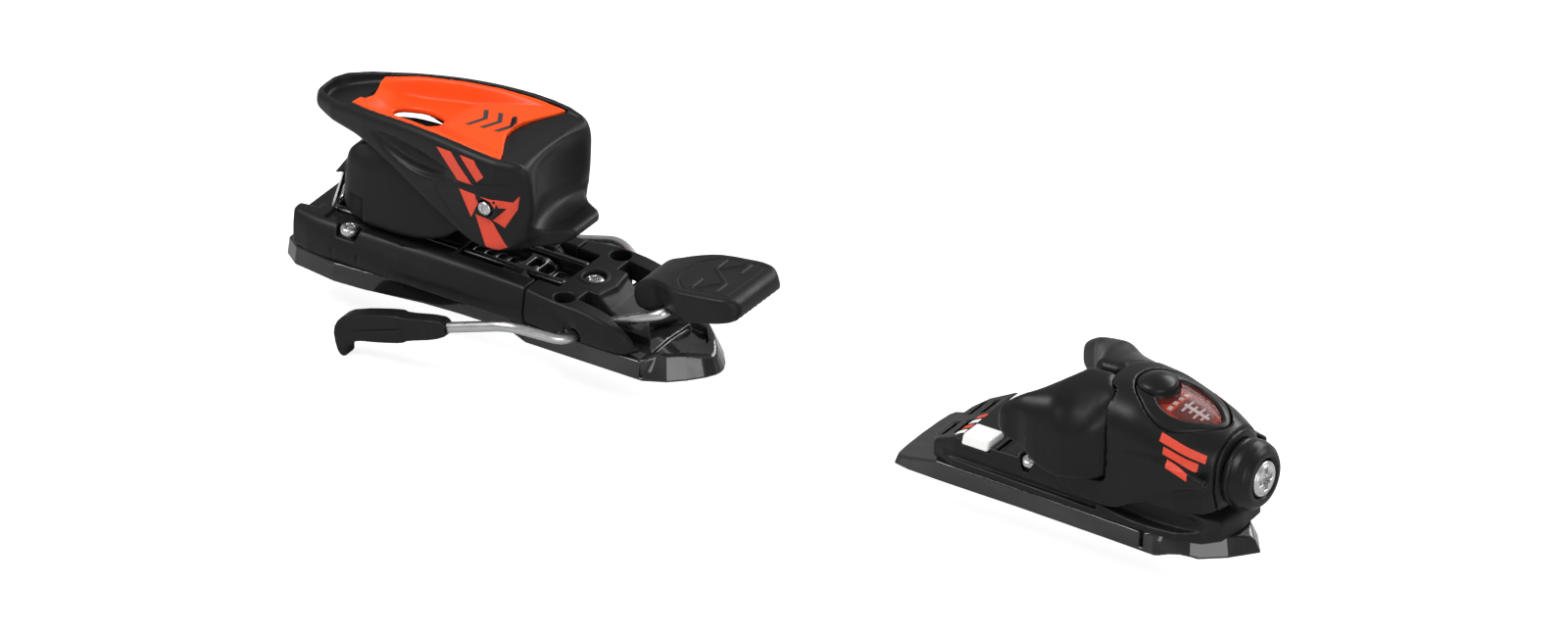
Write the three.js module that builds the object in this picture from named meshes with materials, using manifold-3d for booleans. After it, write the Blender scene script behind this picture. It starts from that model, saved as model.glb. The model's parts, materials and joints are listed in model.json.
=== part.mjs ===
// An alpine step-in ski binding: a heel piece and a toe piece on their lifter plates.
// Millimetres. +X runs forward along the ski, +Y to the left, +Z up from the ski's top sheet.
// The origin lies on the ski under the middle of the heel's two front screw wells.
import * as THREE from "three";
import { LoftGeometry } from "three/addons/geometries/LoftGeometry.js";
import { mergeVertices } from "three/addons/utils/BufferGeometryUtils.js";
import Module from "manifold-3d";

const manifold = await Module();
manifold.setup();

// ---- driving dimensions -------------------------------------------------------------------
const GAP = 0.3; // running clearance between neighbouring pieces
const LIFTER_TOP = 9; // height of both lifter plates
const HEEL_SCREW_SPACING = 44; // across the ski, heel screws
const TOE_SCREW_SPACING = 40; // across the ski, toe screws
const HEEL_SCREW_X = [0, -88]; // rows of heel screws along the ski
const TOE_SCREW_X = 243;
const WELL_R = 4.7; // screwdriver wells in the brake base
const TRACK_HALF = 11; // half width of the steel heel track
const TRACK_TOP = 26;
const CARRIAGE_FRONT = -19;
const CARRIAGE_REAR = -142;
const JAW_PIVOT = { x: -36, z: 64 };
const AXLE_R = 3;
const BRAKE_PIVOT = { x: 8, z: 12.4 };
const BRAKE_SLOPE = THREE.MathUtils.degToRad(17.6); // arms below the ski at rest
const BRAKE_LEG_Y = 16.6; // the wires' legs beside the pedal's hub
const WIRE_R = 2.4;
const WING_PIVOT = { x: 274, y: 19 };
const WING_SWING = 25; // degrees each wing opens
const WING_PIN_R = 2.5;
const TOE_AXIS_Z = 38; // height of the toe spring and of its setting screw
const HEEL_AXIS_Z = 46; // height of the heel spring and of its setting screw
const PRESSURE_AXIS_Z = 15; // height of the forward pressure screw
const SHANK_R = 2.4; // mounting and setting screws
const SHANK_HOLE_R = 2.8;
const COLUMN_HALF = 20; // half width of the heel's spring housing
const POCKET = { x: -112, y: 22.5, r: 5.4 }; // the carriage's screw pockets
const BOTH_SIDES = [["left", 1], ["right", -1]];

// ---- materials ----------------------------------------------------------------------------
function material(color, roughness, metalness = 0) {
  return new THREE.MeshStandardMaterial({ color, roughness, metalness });
}
const matteBlack = material(0x1c1c1d, 0.55);
const smokyBlack = material(0x141415, 0.12);
const orange = material(0xf24a18, 0.42);
const steel = material(0xb9babb, 0.25, 1);
const darkSteel = material(0x4c4d4f, 0.4, 1);
const white = material(0xf1f1ef, 0.45);
const red = material(0xd8432c, 0.5);
const clearRed = material(0x5a1410, 0.08);

// ---- solids -------------------------------------------------------------------------------
const X_AXIS = new THREE.Matrix4().makeRotationY(Math.PI / 2);
const Y_AXIS = new THREE.Matrix4().makeRotationX(-Math.PI / 2);

function solid(geometry) {
  const bare = (geometry.index ? geometry.toNonIndexed() : geometry).clone();
  bare.deleteAttribute("normal");
  bare.deleteAttribute("uv");
  const merged = mergeVertices(bare, 1e-4);
  return new manifold.Manifold(
    new manifold.Mesh({
      numProp: 3,
      vertProperties: merged.attributes.position.array,
      triVerts: new Uint32Array(merged.index.array),
    }),
  );
}

function shapeOf(points) {
  return new THREE.Shape(points.map(([a, b]) => new THREE.Vector2(a, b)));
}

// A smooth closed outline through a few points.
function rounded(points, count = 48) {
  const curve = new THREE.CatmullRomCurve3(
    points.map(([a, b]) => new THREE.Vector3(a, b, 0)),
    true,
    "centripetal",
  );
  return curve.getPoints(count).slice(0, -1).map((p) => [p.x, p.y]);
}

// Half of a plan outline, from tail to nose, mirrored in the XZ plane.
function mirrored(half) {
  const back = half.filter(([, y]) => y > 0).reverse();
  return [...half.map(([x, y]) => [x, -y]), ...back];
}

// An outline in X and Y, raised from z0 to z1.
function plan(points, z0, z1) {
  const geometry = new THREE.ExtrudeGeometry(shapeOf(points), {
    depth: z1 - z0,
    bevelEnabled: false,
    curveSegments: 20,
  });
  return solid(geometry.translate(0, 0, z0));
}

// An outline in X and Z, drawn across from y0 to y1.
function side(points, y0, y1) {
  const geometry = new THREE.ExtrudeGeometry(shapeOf(points), {
    depth: y1 - y0,
    bevelEnabled: false,
  });
  return solid(geometry.rotateX(Math.PI / 2).translate(0, y1, 0));
}

function block(x0, x1, y0, y1, z0, z1) {
  const box = new THREE.BoxGeometry(x1 - x0, y1 - y0, z1 - z0);
  return solid(box.translate((x0 + x1) / 2, (y0 + y1) / 2, (z0 + z1) / 2));
}

// A turned piece: [radius, height] pairs from the axis back to the axis, or closing on itself.
function turned(profile, at, turn = null, segments = 20) {
  const points = profile.map(([r, h]) => new THREE.Vector2(r, h));
  const geometry = new THREE.LatheGeometry(points, segments).rotateX(Math.PI / 2);
  if (turn) geometry.applyMatrix4(turn);
  return solid(geometry.translate(at[0], at[1], at[2]));
}

function disc(radius, h0, h1) {
  return [[0, h0], [radius, h0], [radius, h1], [0, h1]];
}

function bar(radius, h0, h1, at, turn = null, segments = 20) {
  return turned(disc(radius, h0, h1), at, turn, segments);
}

// A round wire along straight runs joined by bends.
function wire(points, radius, steps = 36, sides = 8) {
  const corners = points.map((p) => new THREE.Vector3(...p));
  const path = new THREE.CurvePath();
  let from = corners[0];
  for (let i = 1; i < corners.length - 1; i++) {
    const bend = 5;
    const into = corners[i].clone().lerp(corners[i - 1], bend / corners[i].distanceTo(corners[i - 1]));
    const out = corners[i].clone().lerp(corners[i + 1], bend / corners[i].distanceTo(corners[i + 1]));
    path.add(new THREE.LineCurve3(from, into));
    path.add(new THREE.QuadraticBezierCurve3(into, corners[i], out));
    from = out;
  }
  path.add(new THREE.LineCurve3(from, corners.at(-1)));
  return solid(along(path, radius, steps, sides));
}

function along(path, radius, steps, sides) {
  const ring = Array.from({ length: sides }, (_, i) => {
    const angle = (i / sides) * 2 * Math.PI;
    return [radius * Math.cos(angle), radius * Math.sin(angle)];
  });
  return new THREE.ExtrudeGeometry(shapeOf(ring), { steps, extrudePath: path, bevelEnabled: false });
}

// A coil spring along X.
class Coil extends THREE.Curve {
  constructor(radius, turns, x0, x1, z) {
    super();
    Object.assign(this, { radius, turns, x0, x1, z });
  }
  getPoint(t, target = new THREE.Vector3()) {
    const angle = t * this.turns * 2 * Math.PI;
    const x = this.x0 + t * (this.x1 - this.x0);
    return target.set(x, this.radius * Math.cos(angle), this.z + this.radius * Math.sin(angle));
  }
}

// A loft along X. Each section is [x, half width, bottom, top, squareness].
function hull(sections, sides = 32, grow = 0) {
  const rings = sections.map(([x, half, bottom, top, power]) =>
    Array.from({ length: sides }, (_, i) => {
      const angle = (i / sides) * 2 * Math.PI;
      const bulge = (value) => Math.sign(value) * Math.abs(value) ** (2 / power);
      const y = (half + grow) * bulge(Math.cos(angle));
      const z = (bottom + top) / 2 + ((top - bottom) / 2 + grow) * bulge(Math.sin(angle));
      return new THREE.Vector3(x, y, z);
    }),
  );
  return solid(new LoftGeometry(rings, { capStart: true, capEnd: true }));
}

function mirror(body) {
  return body.mirror([0, 1, 0]);
}

const object = new THREE.Group();

function add(name, body, look) {
  const mesh = body.getMesh();
  const geometry = new THREE.BufferGeometry();
  geometry.setAttribute("position", new THREE.BufferAttribute(mesh.vertProperties, 3));
  geometry.setIndex(new THREE.BufferAttribute(mesh.triVerts, 1));
  geometry.computeVertexNormals();
  const piece = new THREE.Mesh(geometry, look);
  piece.name = name;
  object.add(piece);
}

// A countersunk screw standing on the ski, its head from z1 - 4 to z1, with a cross recess.
function screw(x, y, z0, z1, headR) {
  const neck = z1 - 3.2;
  const profile = [[0, z0], [SHANK_R, z0], [SHANK_R, neck - 2], [headR, neck], [headR, z1 - 0.8],
    [headR - 0.9, z1], [0, z1]];
  return turned(profile, [x, y, 0], null, 16).subtract(crossRecess(headR).translate([x, y, z1 - 2]));
}

function crossRecess(headR) {
  const arm = headR * 0.55;
  const half = 0.7;
  return block(-arm, arm, -half, half, 0, 3).add(block(-half, half, -arm, arm, 0, 3));
}

// ---- heel: fixed on the ski ---------------------------------------------------------------
const heelLifterHalf = [[-150, 0], [-148, 19], [-139, 25], [-117, 28], [-102, 27], [-74, 22.5], [-30, 21.5],
  [-18, 26], [43, 25.5], [52, 19], [60, 10], [66, 0]];

function heelWells(z0, z1, radius) {
  const rows = HEEL_SCREW_X.flatMap((x) => [-1, 1].map((s) => [x, (s * HEEL_SCREW_SPACING) / 2]));
  return rows.map(([x, y]) => bar(radius, z0, z1, [x, y, 0], null, 24)).reduce((a, b) => a.add(b));
}

function heelLifter() {
  const body = plan(mirrored(heelLifterHalf), 0, LIFTER_TOP);
  const nose = side([[38.5, 0], [66, 0], [66, 1.5], [57, 11], [38.5, 11]], -30, 30);
  const raised = plan(mirrored(heelLifterHalf), 0, 12).intersect(nose);
  const hollow = block(41, 54, -15, 15, 4, 12);
  return body
    .subtract(block(38.5, 80, -40, 40, -2, 12))
    .add(raised)
    .subtract(hollow)
    .subtract(heelWells(-1, 12, SHANK_HOLE_R));
}

function brakeBase() {
  const z0 = LIFTER_TOP + GAP;
  const outline = mirrored([[-17, 29], [30, 29], [38, 24], [38, 14]]);
  const body = plan(outline, z0, 27).intersect(
    side([[-22, z0], [39, z0], [38, 15], [32, 22], [22, 26], [6, 27], [-17, 27]], -40, 40),
  );
  const trackBay = block(-30, -7, -16, 16, z0 - 1, 30);
  const frontBay = block(12, 50, -12.6, 12.6, 13, 30);
  const ramp = side([[10, 14], [10, 25.8], [16, 20], [30, 13], [30, 11], [10, 11]], -12.5, 12.5);
  const legSlots = block(5.5, 45, 11.5, 20.2, z0 - 1, 30);
  const crossBore = bar(4.4, 11.5, 40, [BRAKE_PIVOT.x - 0.8, 0, BRAKE_PIVOT.z + 0.6], Y_AXIS, 20);
  return body
    .subtract(trackBay)
    .subtract(frontBay)
    .add(ramp)
    .subtract(legSlots)
    .subtract(mirror(legSlots))
    .subtract(crossBore)
    .subtract(mirror(crossBore))
    .subtract(heelWells(z0 - 1, 30, WELL_R))
    .subtract(bar(5.3, 19, 30, [1, 0, 0]))
    .subtract(bar(SHANK_HOLE_R, 0, 20, [1, 0, 0]));
}

function track() {
  const z0 = LIFTER_TOP + GAP;
  const rear = -128;
  const front = -8;
  const floor = 21;
  const profile = [[-TRACK_HALF, TRACK_TOP], [-TRACK_HALF, z0], [TRACK_HALF, z0], [TRACK_HALF, TRACK_TOP],
    [7.5, TRACK_TOP], [7.5, floor], [-7.5, floor], [-7.5, TRACK_TOP]];
  const geometry = new THREE.ExtrudeGeometry(shapeOf(profile), { depth: front - rear, bevelEnabled: false });
  // the outline's first axis becomes Y and its second becomes Z
  const turn = new THREE.Matrix4().makeBasis(
    new THREE.Vector3(0, 1, 0),
    new THREE.Vector3(0, 0, 1),
    new THREE.Vector3(1, 0, 0),
  );
  let body = solid(geometry.applyMatrix4(turn).translate(rear, 0, 0));
  const slotPitch = 6;
  const slotCount = 17;
  for (let i = 0; i < slotCount; i++) {
    const x = rear + 8 + i * slotPitch;
    body = body.subtract(block(x, x + 3, -4, 4, floor - 2.5, floor + 1));
  }
  return body;
}

add("heel_lifter", heelLifter(), smokyBlack);
add("brake_base", brakeBase(), matteBlack);
add("heel_track", track(), darkSteel);
add("heel_center_screw", screw(1, 0, LIFTER_TOP + 1, 26.7, 4.9), steel);
for (const [label, sign] of BOTH_SIDES) {
  add(`heel_front_screw_${label}`, screw(HEEL_SCREW_X[0], (sign * HEEL_SCREW_SPACING) / 2, 0, 14, 4.2), darkSteel);
}

// ---- heel carriage: slides along the track ------------------------------------------------
const CARRIAGE_Z0 = LIFTER_TOP + GAP;
const carriageHalf = [[CARRIAGE_REAR, 0], [-142, 17], [-134, 24], [-118, 28], [-77, 28.5], [-55, 30], [-30, 30],
  [CARRIAGE_FRONT, 29.5], [CARRIAGE_FRONT, 16.5]];

function rails() {
  const crest = side(
    [[-150, CARRIAGE_Z0], [-17, CARRIAGE_Z0], [-17, 27], [-80, 27], [-118, 27], [-138, 25], [-144, 22]],
    -40,
    40,
  );
  const body = plan(mirrored(carriageHalf), CARRIAGE_Z0, 28).intersect(crest);
  const trackBay = block(-147, 0, -TRACK_HALF - GAP, TRACK_HALF + GAP, CARRIAGE_Z0 - 1, TRACK_TOP + GAP);
  const rearWall = block(-139, -132.5, -14, 14, CARRIAGE_Z0, 24).subtract(
    bar(3.4, -150, -120, [0, 0, PRESSURE_AXIS_Z], X_AXIS, 20),
  );
  const frontBay = block(-60, 0, -16.5, 16.5, 15, 30);
  return body.subtract(trackBay).subtract(frontBay).add(rearWall.intersect(body));
}

function column() {
  const base = 27 + GAP;
  const ears = Array.from({ length: 9 }, (_, i) => {
    const angle = Math.PI / 2 - (i / 8) * Math.PI * 0.9;
    return [JAW_PIVOT.x + 10 * Math.cos(angle), JAW_PIVOT.z + 10 * Math.sin(angle)];
  });
  const outline = [[-121, base], [-121, 58], [-116, 62], [-90, 66], [-62, 72],
    [-48, 74], ...ears, [-52, 45], [-72, base]];
  const body = side(outline, -COLUMN_HALF, COLUMN_HALF);
  const corner = hull(
    [[-122, 15, 10, 80, 6], [-112, 20, 10, 80, 6], [-60, 20, 10, 80, 6], [-20, 20, 10, 80, 6]], 48);
  return body
    .intersect(corner)
    .subtract(bar(11, -119, -60, [0, 0, HEEL_AXIS_Z], X_AXIS, 28))
    .subtract(bar(4.3, -130, -118, [0, 0, HEEL_AXIS_Z], X_AXIS, 20))
    .subtract(bar(AXLE_R + 0.1, -40, 40, [JAW_PIVOT.x, 0, JAW_PIVOT.z], Y_AXIS, 24))
    .subtract(block(-70, -20, -9, 9, 30, 78))
    .subtract(block(-112, -92, -5, 5, 57, 70));
}

function pockets(z0) {
  return BOTH_SIDES.map(([, sign]) => bar(POCKET.r, z0, 40, [POCKET.x, sign * POCKET.y, 0]));
}

function pocketHoles() {
  return BOTH_SIDES.map(([, sign]) => bar(SHANK_HOLE_R, 14, 40, [POCKET.x, sign * POCKET.y, 0], null, 16));
}

function without(body, cutters) {
  return cutters.reduce((left, cutter) => left.subtract(cutter), body);
}

add("heel_carriage", without(rails(), [...pockets(21.8), ...pocketHoles()]), matteBlack);
for (const [label, sign] of BOTH_SIDES) {
  add(`carriage_screw_${label}`, screw(POCKET.x, sign * POCKET.y, 14.5, 27.4, 4.15), steel);
}
add("heel_column", without(column(), pockets(20)), matteBlack);
add("heel_axle", bar(AXLE_R, -29.5, 29.5, [JAW_PIVOT.x, 0, JAW_PIVOT.z], Y_AXIS), steel);
for (const [label, sign] of BOTH_SIDES) {
  const profile = [[0, 29.8], [3.25, 29.8], [3.25, 31.2], [2.4, 32], [0, 32]];
  const head = turned(profile, [JAW_PIVOT.x, 0, JAW_PIVOT.z], Y_AXIS);
  add(`axle_head_${label}`, sign > 0 ? head : mirror(head), steel);
}
add("heel_spring", solid(along(new Coil(8.4, 6, -110, -78, HEEL_AXIS_Z), 1.7, 78, 6)), darkSteel);
add("heel_plunger", bar(10.6, -73, -63, [0, 0, HEEL_AXIS_Z], X_AXIS), darkSteel);

function rearBracket() {
  const strip = side([[-127, 27.6], [-125, 27.6], [-121.6, 44], [-121.6, 50], [-122.6, 50],
    [-122.8, 44]], -14, 14);
  return strip.subtract(bar(5, -140, -110, [0, 0, HEEL_AXIS_Z], X_AXIS));
}

// A screw along X with a slot for a flat blade across its rear face.
function slottedScrew(profile, z, slotHalf) {
  const rear = profile[0][1];
  const slot = block(rear - 1, rear + 1, -slotHalf, slotHalf, z - 0.7, z + 0.7);
  return turned(profile, [0, 0, z], X_AXIS).subtract(slot);
}

const pressureProfile = [[0, -143.5], [4.6, -143.5], [4.6, -140.5], [3, -140.5], [3, -131], [0, -131]];
const settingProfile = [[0, -122], [4, -122], [4, -119.3], [2, -119.3], [2, -82], [0, -82]];
add("rear_bracket", rearBracket(), steel);
add("forward_pressure_screw", slottedScrew(pressureProfile, PRESSURE_AXIS_Z, 3.2), steel);
add("heel_setting_screw", slottedScrew(settingProfile, HEEL_AXIS_Z, 2.8), steel);

function heelIndicator() {
  const nut = bar(6.2, -115, -112.2, [0, 0, HEEL_AXIS_Z], X_AXIS, 24);
  return nut.subtract(bar(2.3, -120, -100, [0, 0, HEEL_AXIS_Z], X_AXIS, 20));
}
add("heel_indicator_nut", heelIndicator(), orange);

// ---- heel jaw: lever ring, side plates, cup and treadle in one moulding --------------------
const jawHalf = [[-141, 0], [-140, 6], [-135, 12], [-124, 17], [-105, 22], [-85, 25.5], [-65, 28.5], [-50, 30.4],
  [-40, 31], [-31, 30.2], [-24, 27.5], [-18, 24], [-14.5, 19]];
const jawInner = [[-136, 0], [-132, 8], [-120, 14], [-104, 18.5], [-84, 22], [-64, 24.6], [-45, 26.4],
  [-27, 26.6]];
const jawSide = [[-141.5, 77], [-139, 81.5], [-130, 84], [-116, 86], [-90, 89.5], [-72, 90.5], [-50, 90],
  [-31, 88.5], [-19, 88], [-15.5, 84], [-14, 78], [-14, 70], [-15, 62], [-17.5, 54], [-21, 48.5], [-27, 43.5],
  [-36, 42], [-45, 43], [-61, 51], [-78, 59], [-93, 67], [-108, 73.5], [-125, 73], [-138, 73]];

function jaw() {
  const outer = plan(mirrored(jawHalf), 40, 95).intersect(side(jawSide, -40, 40));
  const inner = plan(mirrored(jawInner), 30, 100);
  const cupR = 45;
  const cupBack = -24;
  const cup = bar(cupR, 30, 100, [cupBack + cupR, 0, 0], null, 64);
  const heelWall = side([[-32, 40], [-10, 40], [-10, 95], [-32, 95]], -26.7, 26.7);
  const treadlePlan = mirrored([[-26, 22], [-19, 20], [-5, 11], [-2.5, 10]]);
  const treadle = side([[-24, 44], [-8, 47], [-2.5, 50], [-3, 54], [-14, 55], [-24, 60]], -24, 24).intersect(
    plan(treadlePlan, 40, 62),
  );
  const tailFloor = plan(mirrored([[-138, 0], [-136, 7], [-128, 12.5], [-117, 15.6]]), 74, 77);
  const pinHole = bar(AXLE_R + 0.1, -40, 40, [JAW_PIVOT.x, 0, JAW_PIVOT.z], Y_AXIS, 24);
  const headHoles = bar(3.6, 29, 40, [JAW_PIVOT.x, 0, JAW_PIVOT.z], Y_AXIS, 24);
  const earRoom = bar(16.5, -23, 23, [JAW_PIVOT.x + 1, 0, JAW_PIVOT.z], Y_AXIS, 40);
  const behindCup = block(-60, -25.2, -30, 30, 40, 90);
  return outer
    .subtract(inner)
    .add(heelWall.intersect(outer))
    .subtract(cup)
    .add(treadle)
    .add(tailFloor)
    .subtract(earRoom.intersect(behindCup))
    .subtract(pinHole)
    .subtract(headHoles)
    .subtract(mirror(headHoles));
}

function inlay() {
  const half = [[-117, 0], [-121, 12.6], [-104, 18], [-84, 21.5], [-64, 24.1], [-45, 25.9], [-32.4, 26]];
  const top = side([[-122, 80], [-122, 84.6], [-116, 85.4], [-90, 88.8], [-72, 89.8], [-50, 89.3], [-31, 87.8],
    [-31, 82], [-50, 83], [-72, 83], [-90, 82], [-116, 79.5]], -30, 30);
  const poleHole = plan(rounded([[-107, 0], [-97, -9], [-80, -7], [-78, 0], [-80, 7], [-97, 9]]), 60, 100);
  return plan(mirrored([...half, [-32.4, 20]]), 78, 92).intersect(top).subtract(poleHole);
}

add("heel_jaw", jaw(), matteBlack);
add("jaw_inlay", inlay(), orange);

// ---- brake --------------------------------------------------------------------------------
// Points on the tilted brake are given from its pivot: u along it, w square to it.
function brakePoint(u, y, w) {
  const cos = Math.cos(BRAKE_SLOPE);
  const sin = Math.sin(BRAKE_SLOPE);
  return [BRAKE_PIVOT.x + u * cos - w * sin, y, BRAKE_PIVOT.z + u * sin + w * cos];
}

function brakeOutline(points) {
  return points.map(([u, w]) => {
    const [x, , z] = brakePoint(u, 0, w);
    return [x, z];
  });
}

const wirePath = [brakePoint(43, 9, 5.5), brakePoint(43, BRAKE_LEG_Y, 5.5), brakePoint(0, BRAKE_LEG_Y, 0.2),
  brakePoint(0, 33, 0.2), brakePoint(-20, 44, 12.6), brakePoint(-60, 46.5, 12.6), brakePoint(-95, 46.5, 12.6)];

function brakePedal() {
  const body = side(brakeOutline([[28, 6], [27, 17], [32, 19.5], [56, 14.5], [80, 13.5], [85, 9], [84, 3],
    [76, 1.5], [58, 2.5], [40, 3]]), -20, 20);
  const outline = mirrored([[20, 12.5], [42, 12.5], [54, 20], [84, 20], [96, 17.5]]);
  const socket = wire([brakePoint(43, 8, 5.5), ...wirePath.slice(1, 3)], WIRE_R + 2 * GAP, 24);
  const yawRoom = block(30, 60, 13.4, 21, 10, 34);
  return body
    .intersect(plan(outline, 0, 80))
    .subtract(socket)
    .subtract(mirror(socket))
    .subtract(yawRoom)
    .subtract(mirror(yawRoom));
}

function brakeFoot() {
  const profile = brakeOutline([[-52, 9], [-52, 17], [-60, 19.5], [-104, 18.5], [-111, 16], [-112, 2],
    [-108, 1], [-104, 8.5], [-70, 6]]);
  return side(profile, 42, 50.5).subtract(wire(wirePath.slice(3), WIRE_R + GAP, 24));
}

add("brake_pedal", brakePedal(), matteBlack);
add("brake_wire_left", wire(wirePath, WIRE_R), steel);
add("brake_wire_right", mirror(wire(wirePath, WIRE_R)), steel);
add("brake_foot_left", brakeFoot(), matteBlack);
add("brake_foot_right", mirror(brakeFoot()), matteBlack);

// ---- toe: fixed on the ski ----------------------------------------------------------------
const toeLifterHalf = [[170, 0], [171, 14], [178, 22.5], [197, 25.5], [240, 26], [312, 28], [326, 23],
  [340, 12], [349.5, 0]];

function toeWells(z0, z1, radius) {
  return [-1, 1].map((s) => bar(radius, z0, z1, [TOE_SCREW_X, (s * TOE_SCREW_SPACING) / 2, 0], null, 24))
    .reduce((a, b) => a.add(b));
}

function toeLifter() {
  const keel = side([[168, 0], [350, 0], [338, 11], [300, 11], [300, 9], [182, 9], [170, 5]], -40, 40);
  return plan(mirrored(toeLifterHalf), 0, 12).intersect(keel).subtract(toeWells(-1, 15, SHANK_HOLE_R));
}

function toeBase() {
  const z0 = 11 + GAP;
  const half = [[188, 12], [192, 22], [205, 26], [300, 26], [330, 25], [340, 17]];
  const top = side([[186, z0], [345, z0], [345, 19], [338, 20], [330, 22.5], [322, 25.9], [206, 24],
    [188, 15]], -40, 40);
  const padBay = block(206.2, 219.8, -32, 32, 21.5, 30);
  const rear = side([[180, 9.3], [300, 9.3], [300, 12], [180, 12]], -24, 24);
  return plan(mirrored(half), z0, 30)
    .intersect(top)
    .add(rear.intersect(plan(mirrored(half), 0, 30)))
    .subtract(padBay)
    .subtract(block(209.7, 216.3, -8.3, 8.3, 14, 30))
    .subtract(toeWells(0, 40, SHANK_HOLE_R))
    .subtract(toeWells(18.6, 40, 5.2));
}

function afdPad() {
  return block(206.7, 219.3, -24, 24, 21.8, 26.5).add(block(210, 216, -3, 3, 14.3, 22));
}

const housingSections = [[266, 22, 26.3, 66, 3.2], [276, 25.5, 26.3, 70, 3], [292, 26, 26.3, 68.5, 3],
  [310, 25, 26.3, 64.5, 3], [326, 21.5, 26.3, 60, 2.8], [338, 16, 24.5, 55, 2.3]];

const wingPlan = [[284.5, -21], [282, -27], [272, -33], [262, -36], [252, -37.3], [245, -35.2], [238.5, -36.6],
  [234, -34.5], [236.5, -30.5], [246, -25.5], [253, -18], [259, -8], [261, -0.5], [276.4, -0.5], [280, -10]];
const wingProfile = [[229, 45], [231, 50], [236, 54], [243, 57], [254, 60], [262, 63.8], [270, 66.8], [276.4, 68.5],
  [277, 60], [287, 44], [287, 29.5], [262, 29.5], [250, 33], [240, 39]];
const wingHood = [[228, 38, 20, 60, 4], [246, 38.5, 20, 63, 3.5], [262, 36.5, 20, 66.5, 3], [276, 29, 20, 70, 3],
  [290, 27, 20, 70, 3]];

// The right wing. grow widens it, for the pocket it swings in.
function wing(grow = 0) {
  const wide = wingPlan.map(([x, y]) => [x + Math.sign(x - 265) * grow, y + Math.sign(y + 20) * grow]);
  const tall = wingProfile.map(([x, z]) => [x, z + Math.sign(z - 40) * grow]);
  return plan(wide, 20, 80).intersect(side(tall, -60, 10));
}

function swung(body, degrees) {
  const { x, y } = WING_PIVOT;
  return body.translate([-x, y, 0]).rotate([0, 0, degrees]).translate([x, -y, 0]);
}

function wingPocket() {
  const steps = 5;
  return Array.from({ length: steps + 1 }, (_, i) => swung(wing(1), (i / steps) * WING_SWING))
    .reduce((a, b) => a.add(b));
}

const pivotHole = bar(WING_PIN_R + 0.1, 10, 80, [WING_PIVOT.x, -WING_PIVOT.y, 0], null, 20);
const pocket = wingPocket();

// The oval insert on top, the window in it, and the lens in the window: half outlines.
const insertHalf = [[286.5, 0], [287.8, 5], [291, 10.5], [296, 14.5], [302, 18], [308, 19.3], [314, 18.3], [320, 15],
  [328.5, 6.5], [333, 0]];
const seatHalf = [[286, 0], [287.4, 5.2], [290.7, 10.9], [295.7, 15], [301.8, 18.5], [308, 19.8], [314.3, 18.7],
  [320.3, 15.4], [328.9, 6.8], [333.6, 0]];
const windowHalf = [[304, 0], [303, 4.5], [301, 8.5], [305, 12], [311, 12.8], [318, 10.5], [325, 5], [328.5, 0]];
const lensHalf = [[304.5, 0], [303.5, 4.5], [301.6, 8.4], [305.3, 11.5], [311, 12.3], [317.7, 10.1], [324.6, 4.7],
  [327.9, 0]];

function toeHousing() {
  const openFront = block(200, 276.8, -40, 40, 29, 90);
  return hull(housingSections)
    .subtract(openFront)
    .subtract(pocket)
    .subtract(mirror(pocket))
    .subtract(plan(mirrored(seatHalf), 54.7, 90))
    .subtract(bar(12, 286, 345, [0, 0, TOE_AXIS_Z], X_AXIS, 32))
    .subtract(pivotHole)
    .subtract(mirror(pivotHole));
}

function windowBezel() {
  const dome = turned([[0, 56], [9, 56], [9, 69], [7.5, 70.4], [4, 71.4], [0, 71.7]], [295.5, 0, 0]);
  const insert = plan(mirrored(insertHalf), 55, 90).intersect(hull(housingSections));
  return insert.subtract(plan(mirrored(windowHalf), 50, 90)).add(dome);
}

function windowLens() {
  return plan(mirrored(lensHalf), 57, 90).intersect(hull(housingSections, 32, -0.5)).subtract(domeRoom());
}

function scalePlate() {
  return plan(mirrored(lensHalf), 55.2, 56.4).subtract(domeRoom());
}

// Room beside the dome at the rear of the insert.
function domeRoom() {
  return bar(9.4, 50, 90, [295.5, 0, 0]);
}

add("toe_lifter", toeLifter(), smokyBlack);
add("toe_base", toeBase(), matteBlack);
add("afd_pad", afdPad(), white);
for (const [label, sign] of BOTH_SIDES) {
  add(`toe_screw_${label}`, screw(TOE_SCREW_X, (sign * TOE_SCREW_SPACING) / 2, 0, 24.2, 4.6), steel);
}
add("toe_housing", toeHousing(), matteBlack);
add("window_bezel", windowBezel(), matteBlack);
add("window_lens", windowLens(), clearRed);
add("window_scale", scalePlate(), red);

const rightWing = wing().intersect(hull(wingHood)).subtract(pivotHole);
add("toe_wing_right", rightWing, matteBlack);
add("toe_wing_left", mirror(rightWing), matteBlack);
for (const [label, sign] of BOTH_SIDES) {
  add(`wing_pin_${label}`, bar(WING_PIN_R, 27, 62, [WING_PIVOT.x, sign * WING_PIVOT.y, 0]), darkSteel);
}

const noseProfile = [[10.5, 338.6], [15, 338.6], [16, 341], [16, 346], [14.5, 350], [12, 351.5],
  [8.7, 351.5], [8.7, 342], [10.5, 342], [10.5, 338.6]];
add("nose_cap", turned(noseProfile, [0, 0, TOE_AXIS_Z], X_AXIS, 28), matteBlack);

function toeSettingScrew() {
  const profile = [[0, 292], [SHANK_R, 292], [SHANK_R, 343], [8.3, 343], [8.3, 351.6], [7.4, 352.6],
    [0, 352.6]];
  return turned(profile, [0, 0, TOE_AXIS_Z], X_AXIS, 28)
    .subtract(block(350, 354, -5, 5, TOE_AXIS_Z - 1, TOE_AXIS_Z + 1))
    .subtract(block(350, 354, -1, 1, TOE_AXIS_Z - 5, TOE_AXIS_Z + 5));
}

// A round plate on the toe's setting screw.
function toePlate(radius, x0, x1) {
  const at = [0, 0, TOE_AXIS_Z];
  return bar(radius, x0, x1, at, X_AXIS).subtract(bar(SHANK_R + 0.2, x0 - 5, x1 + 5, at, X_AXIS));
}

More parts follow.
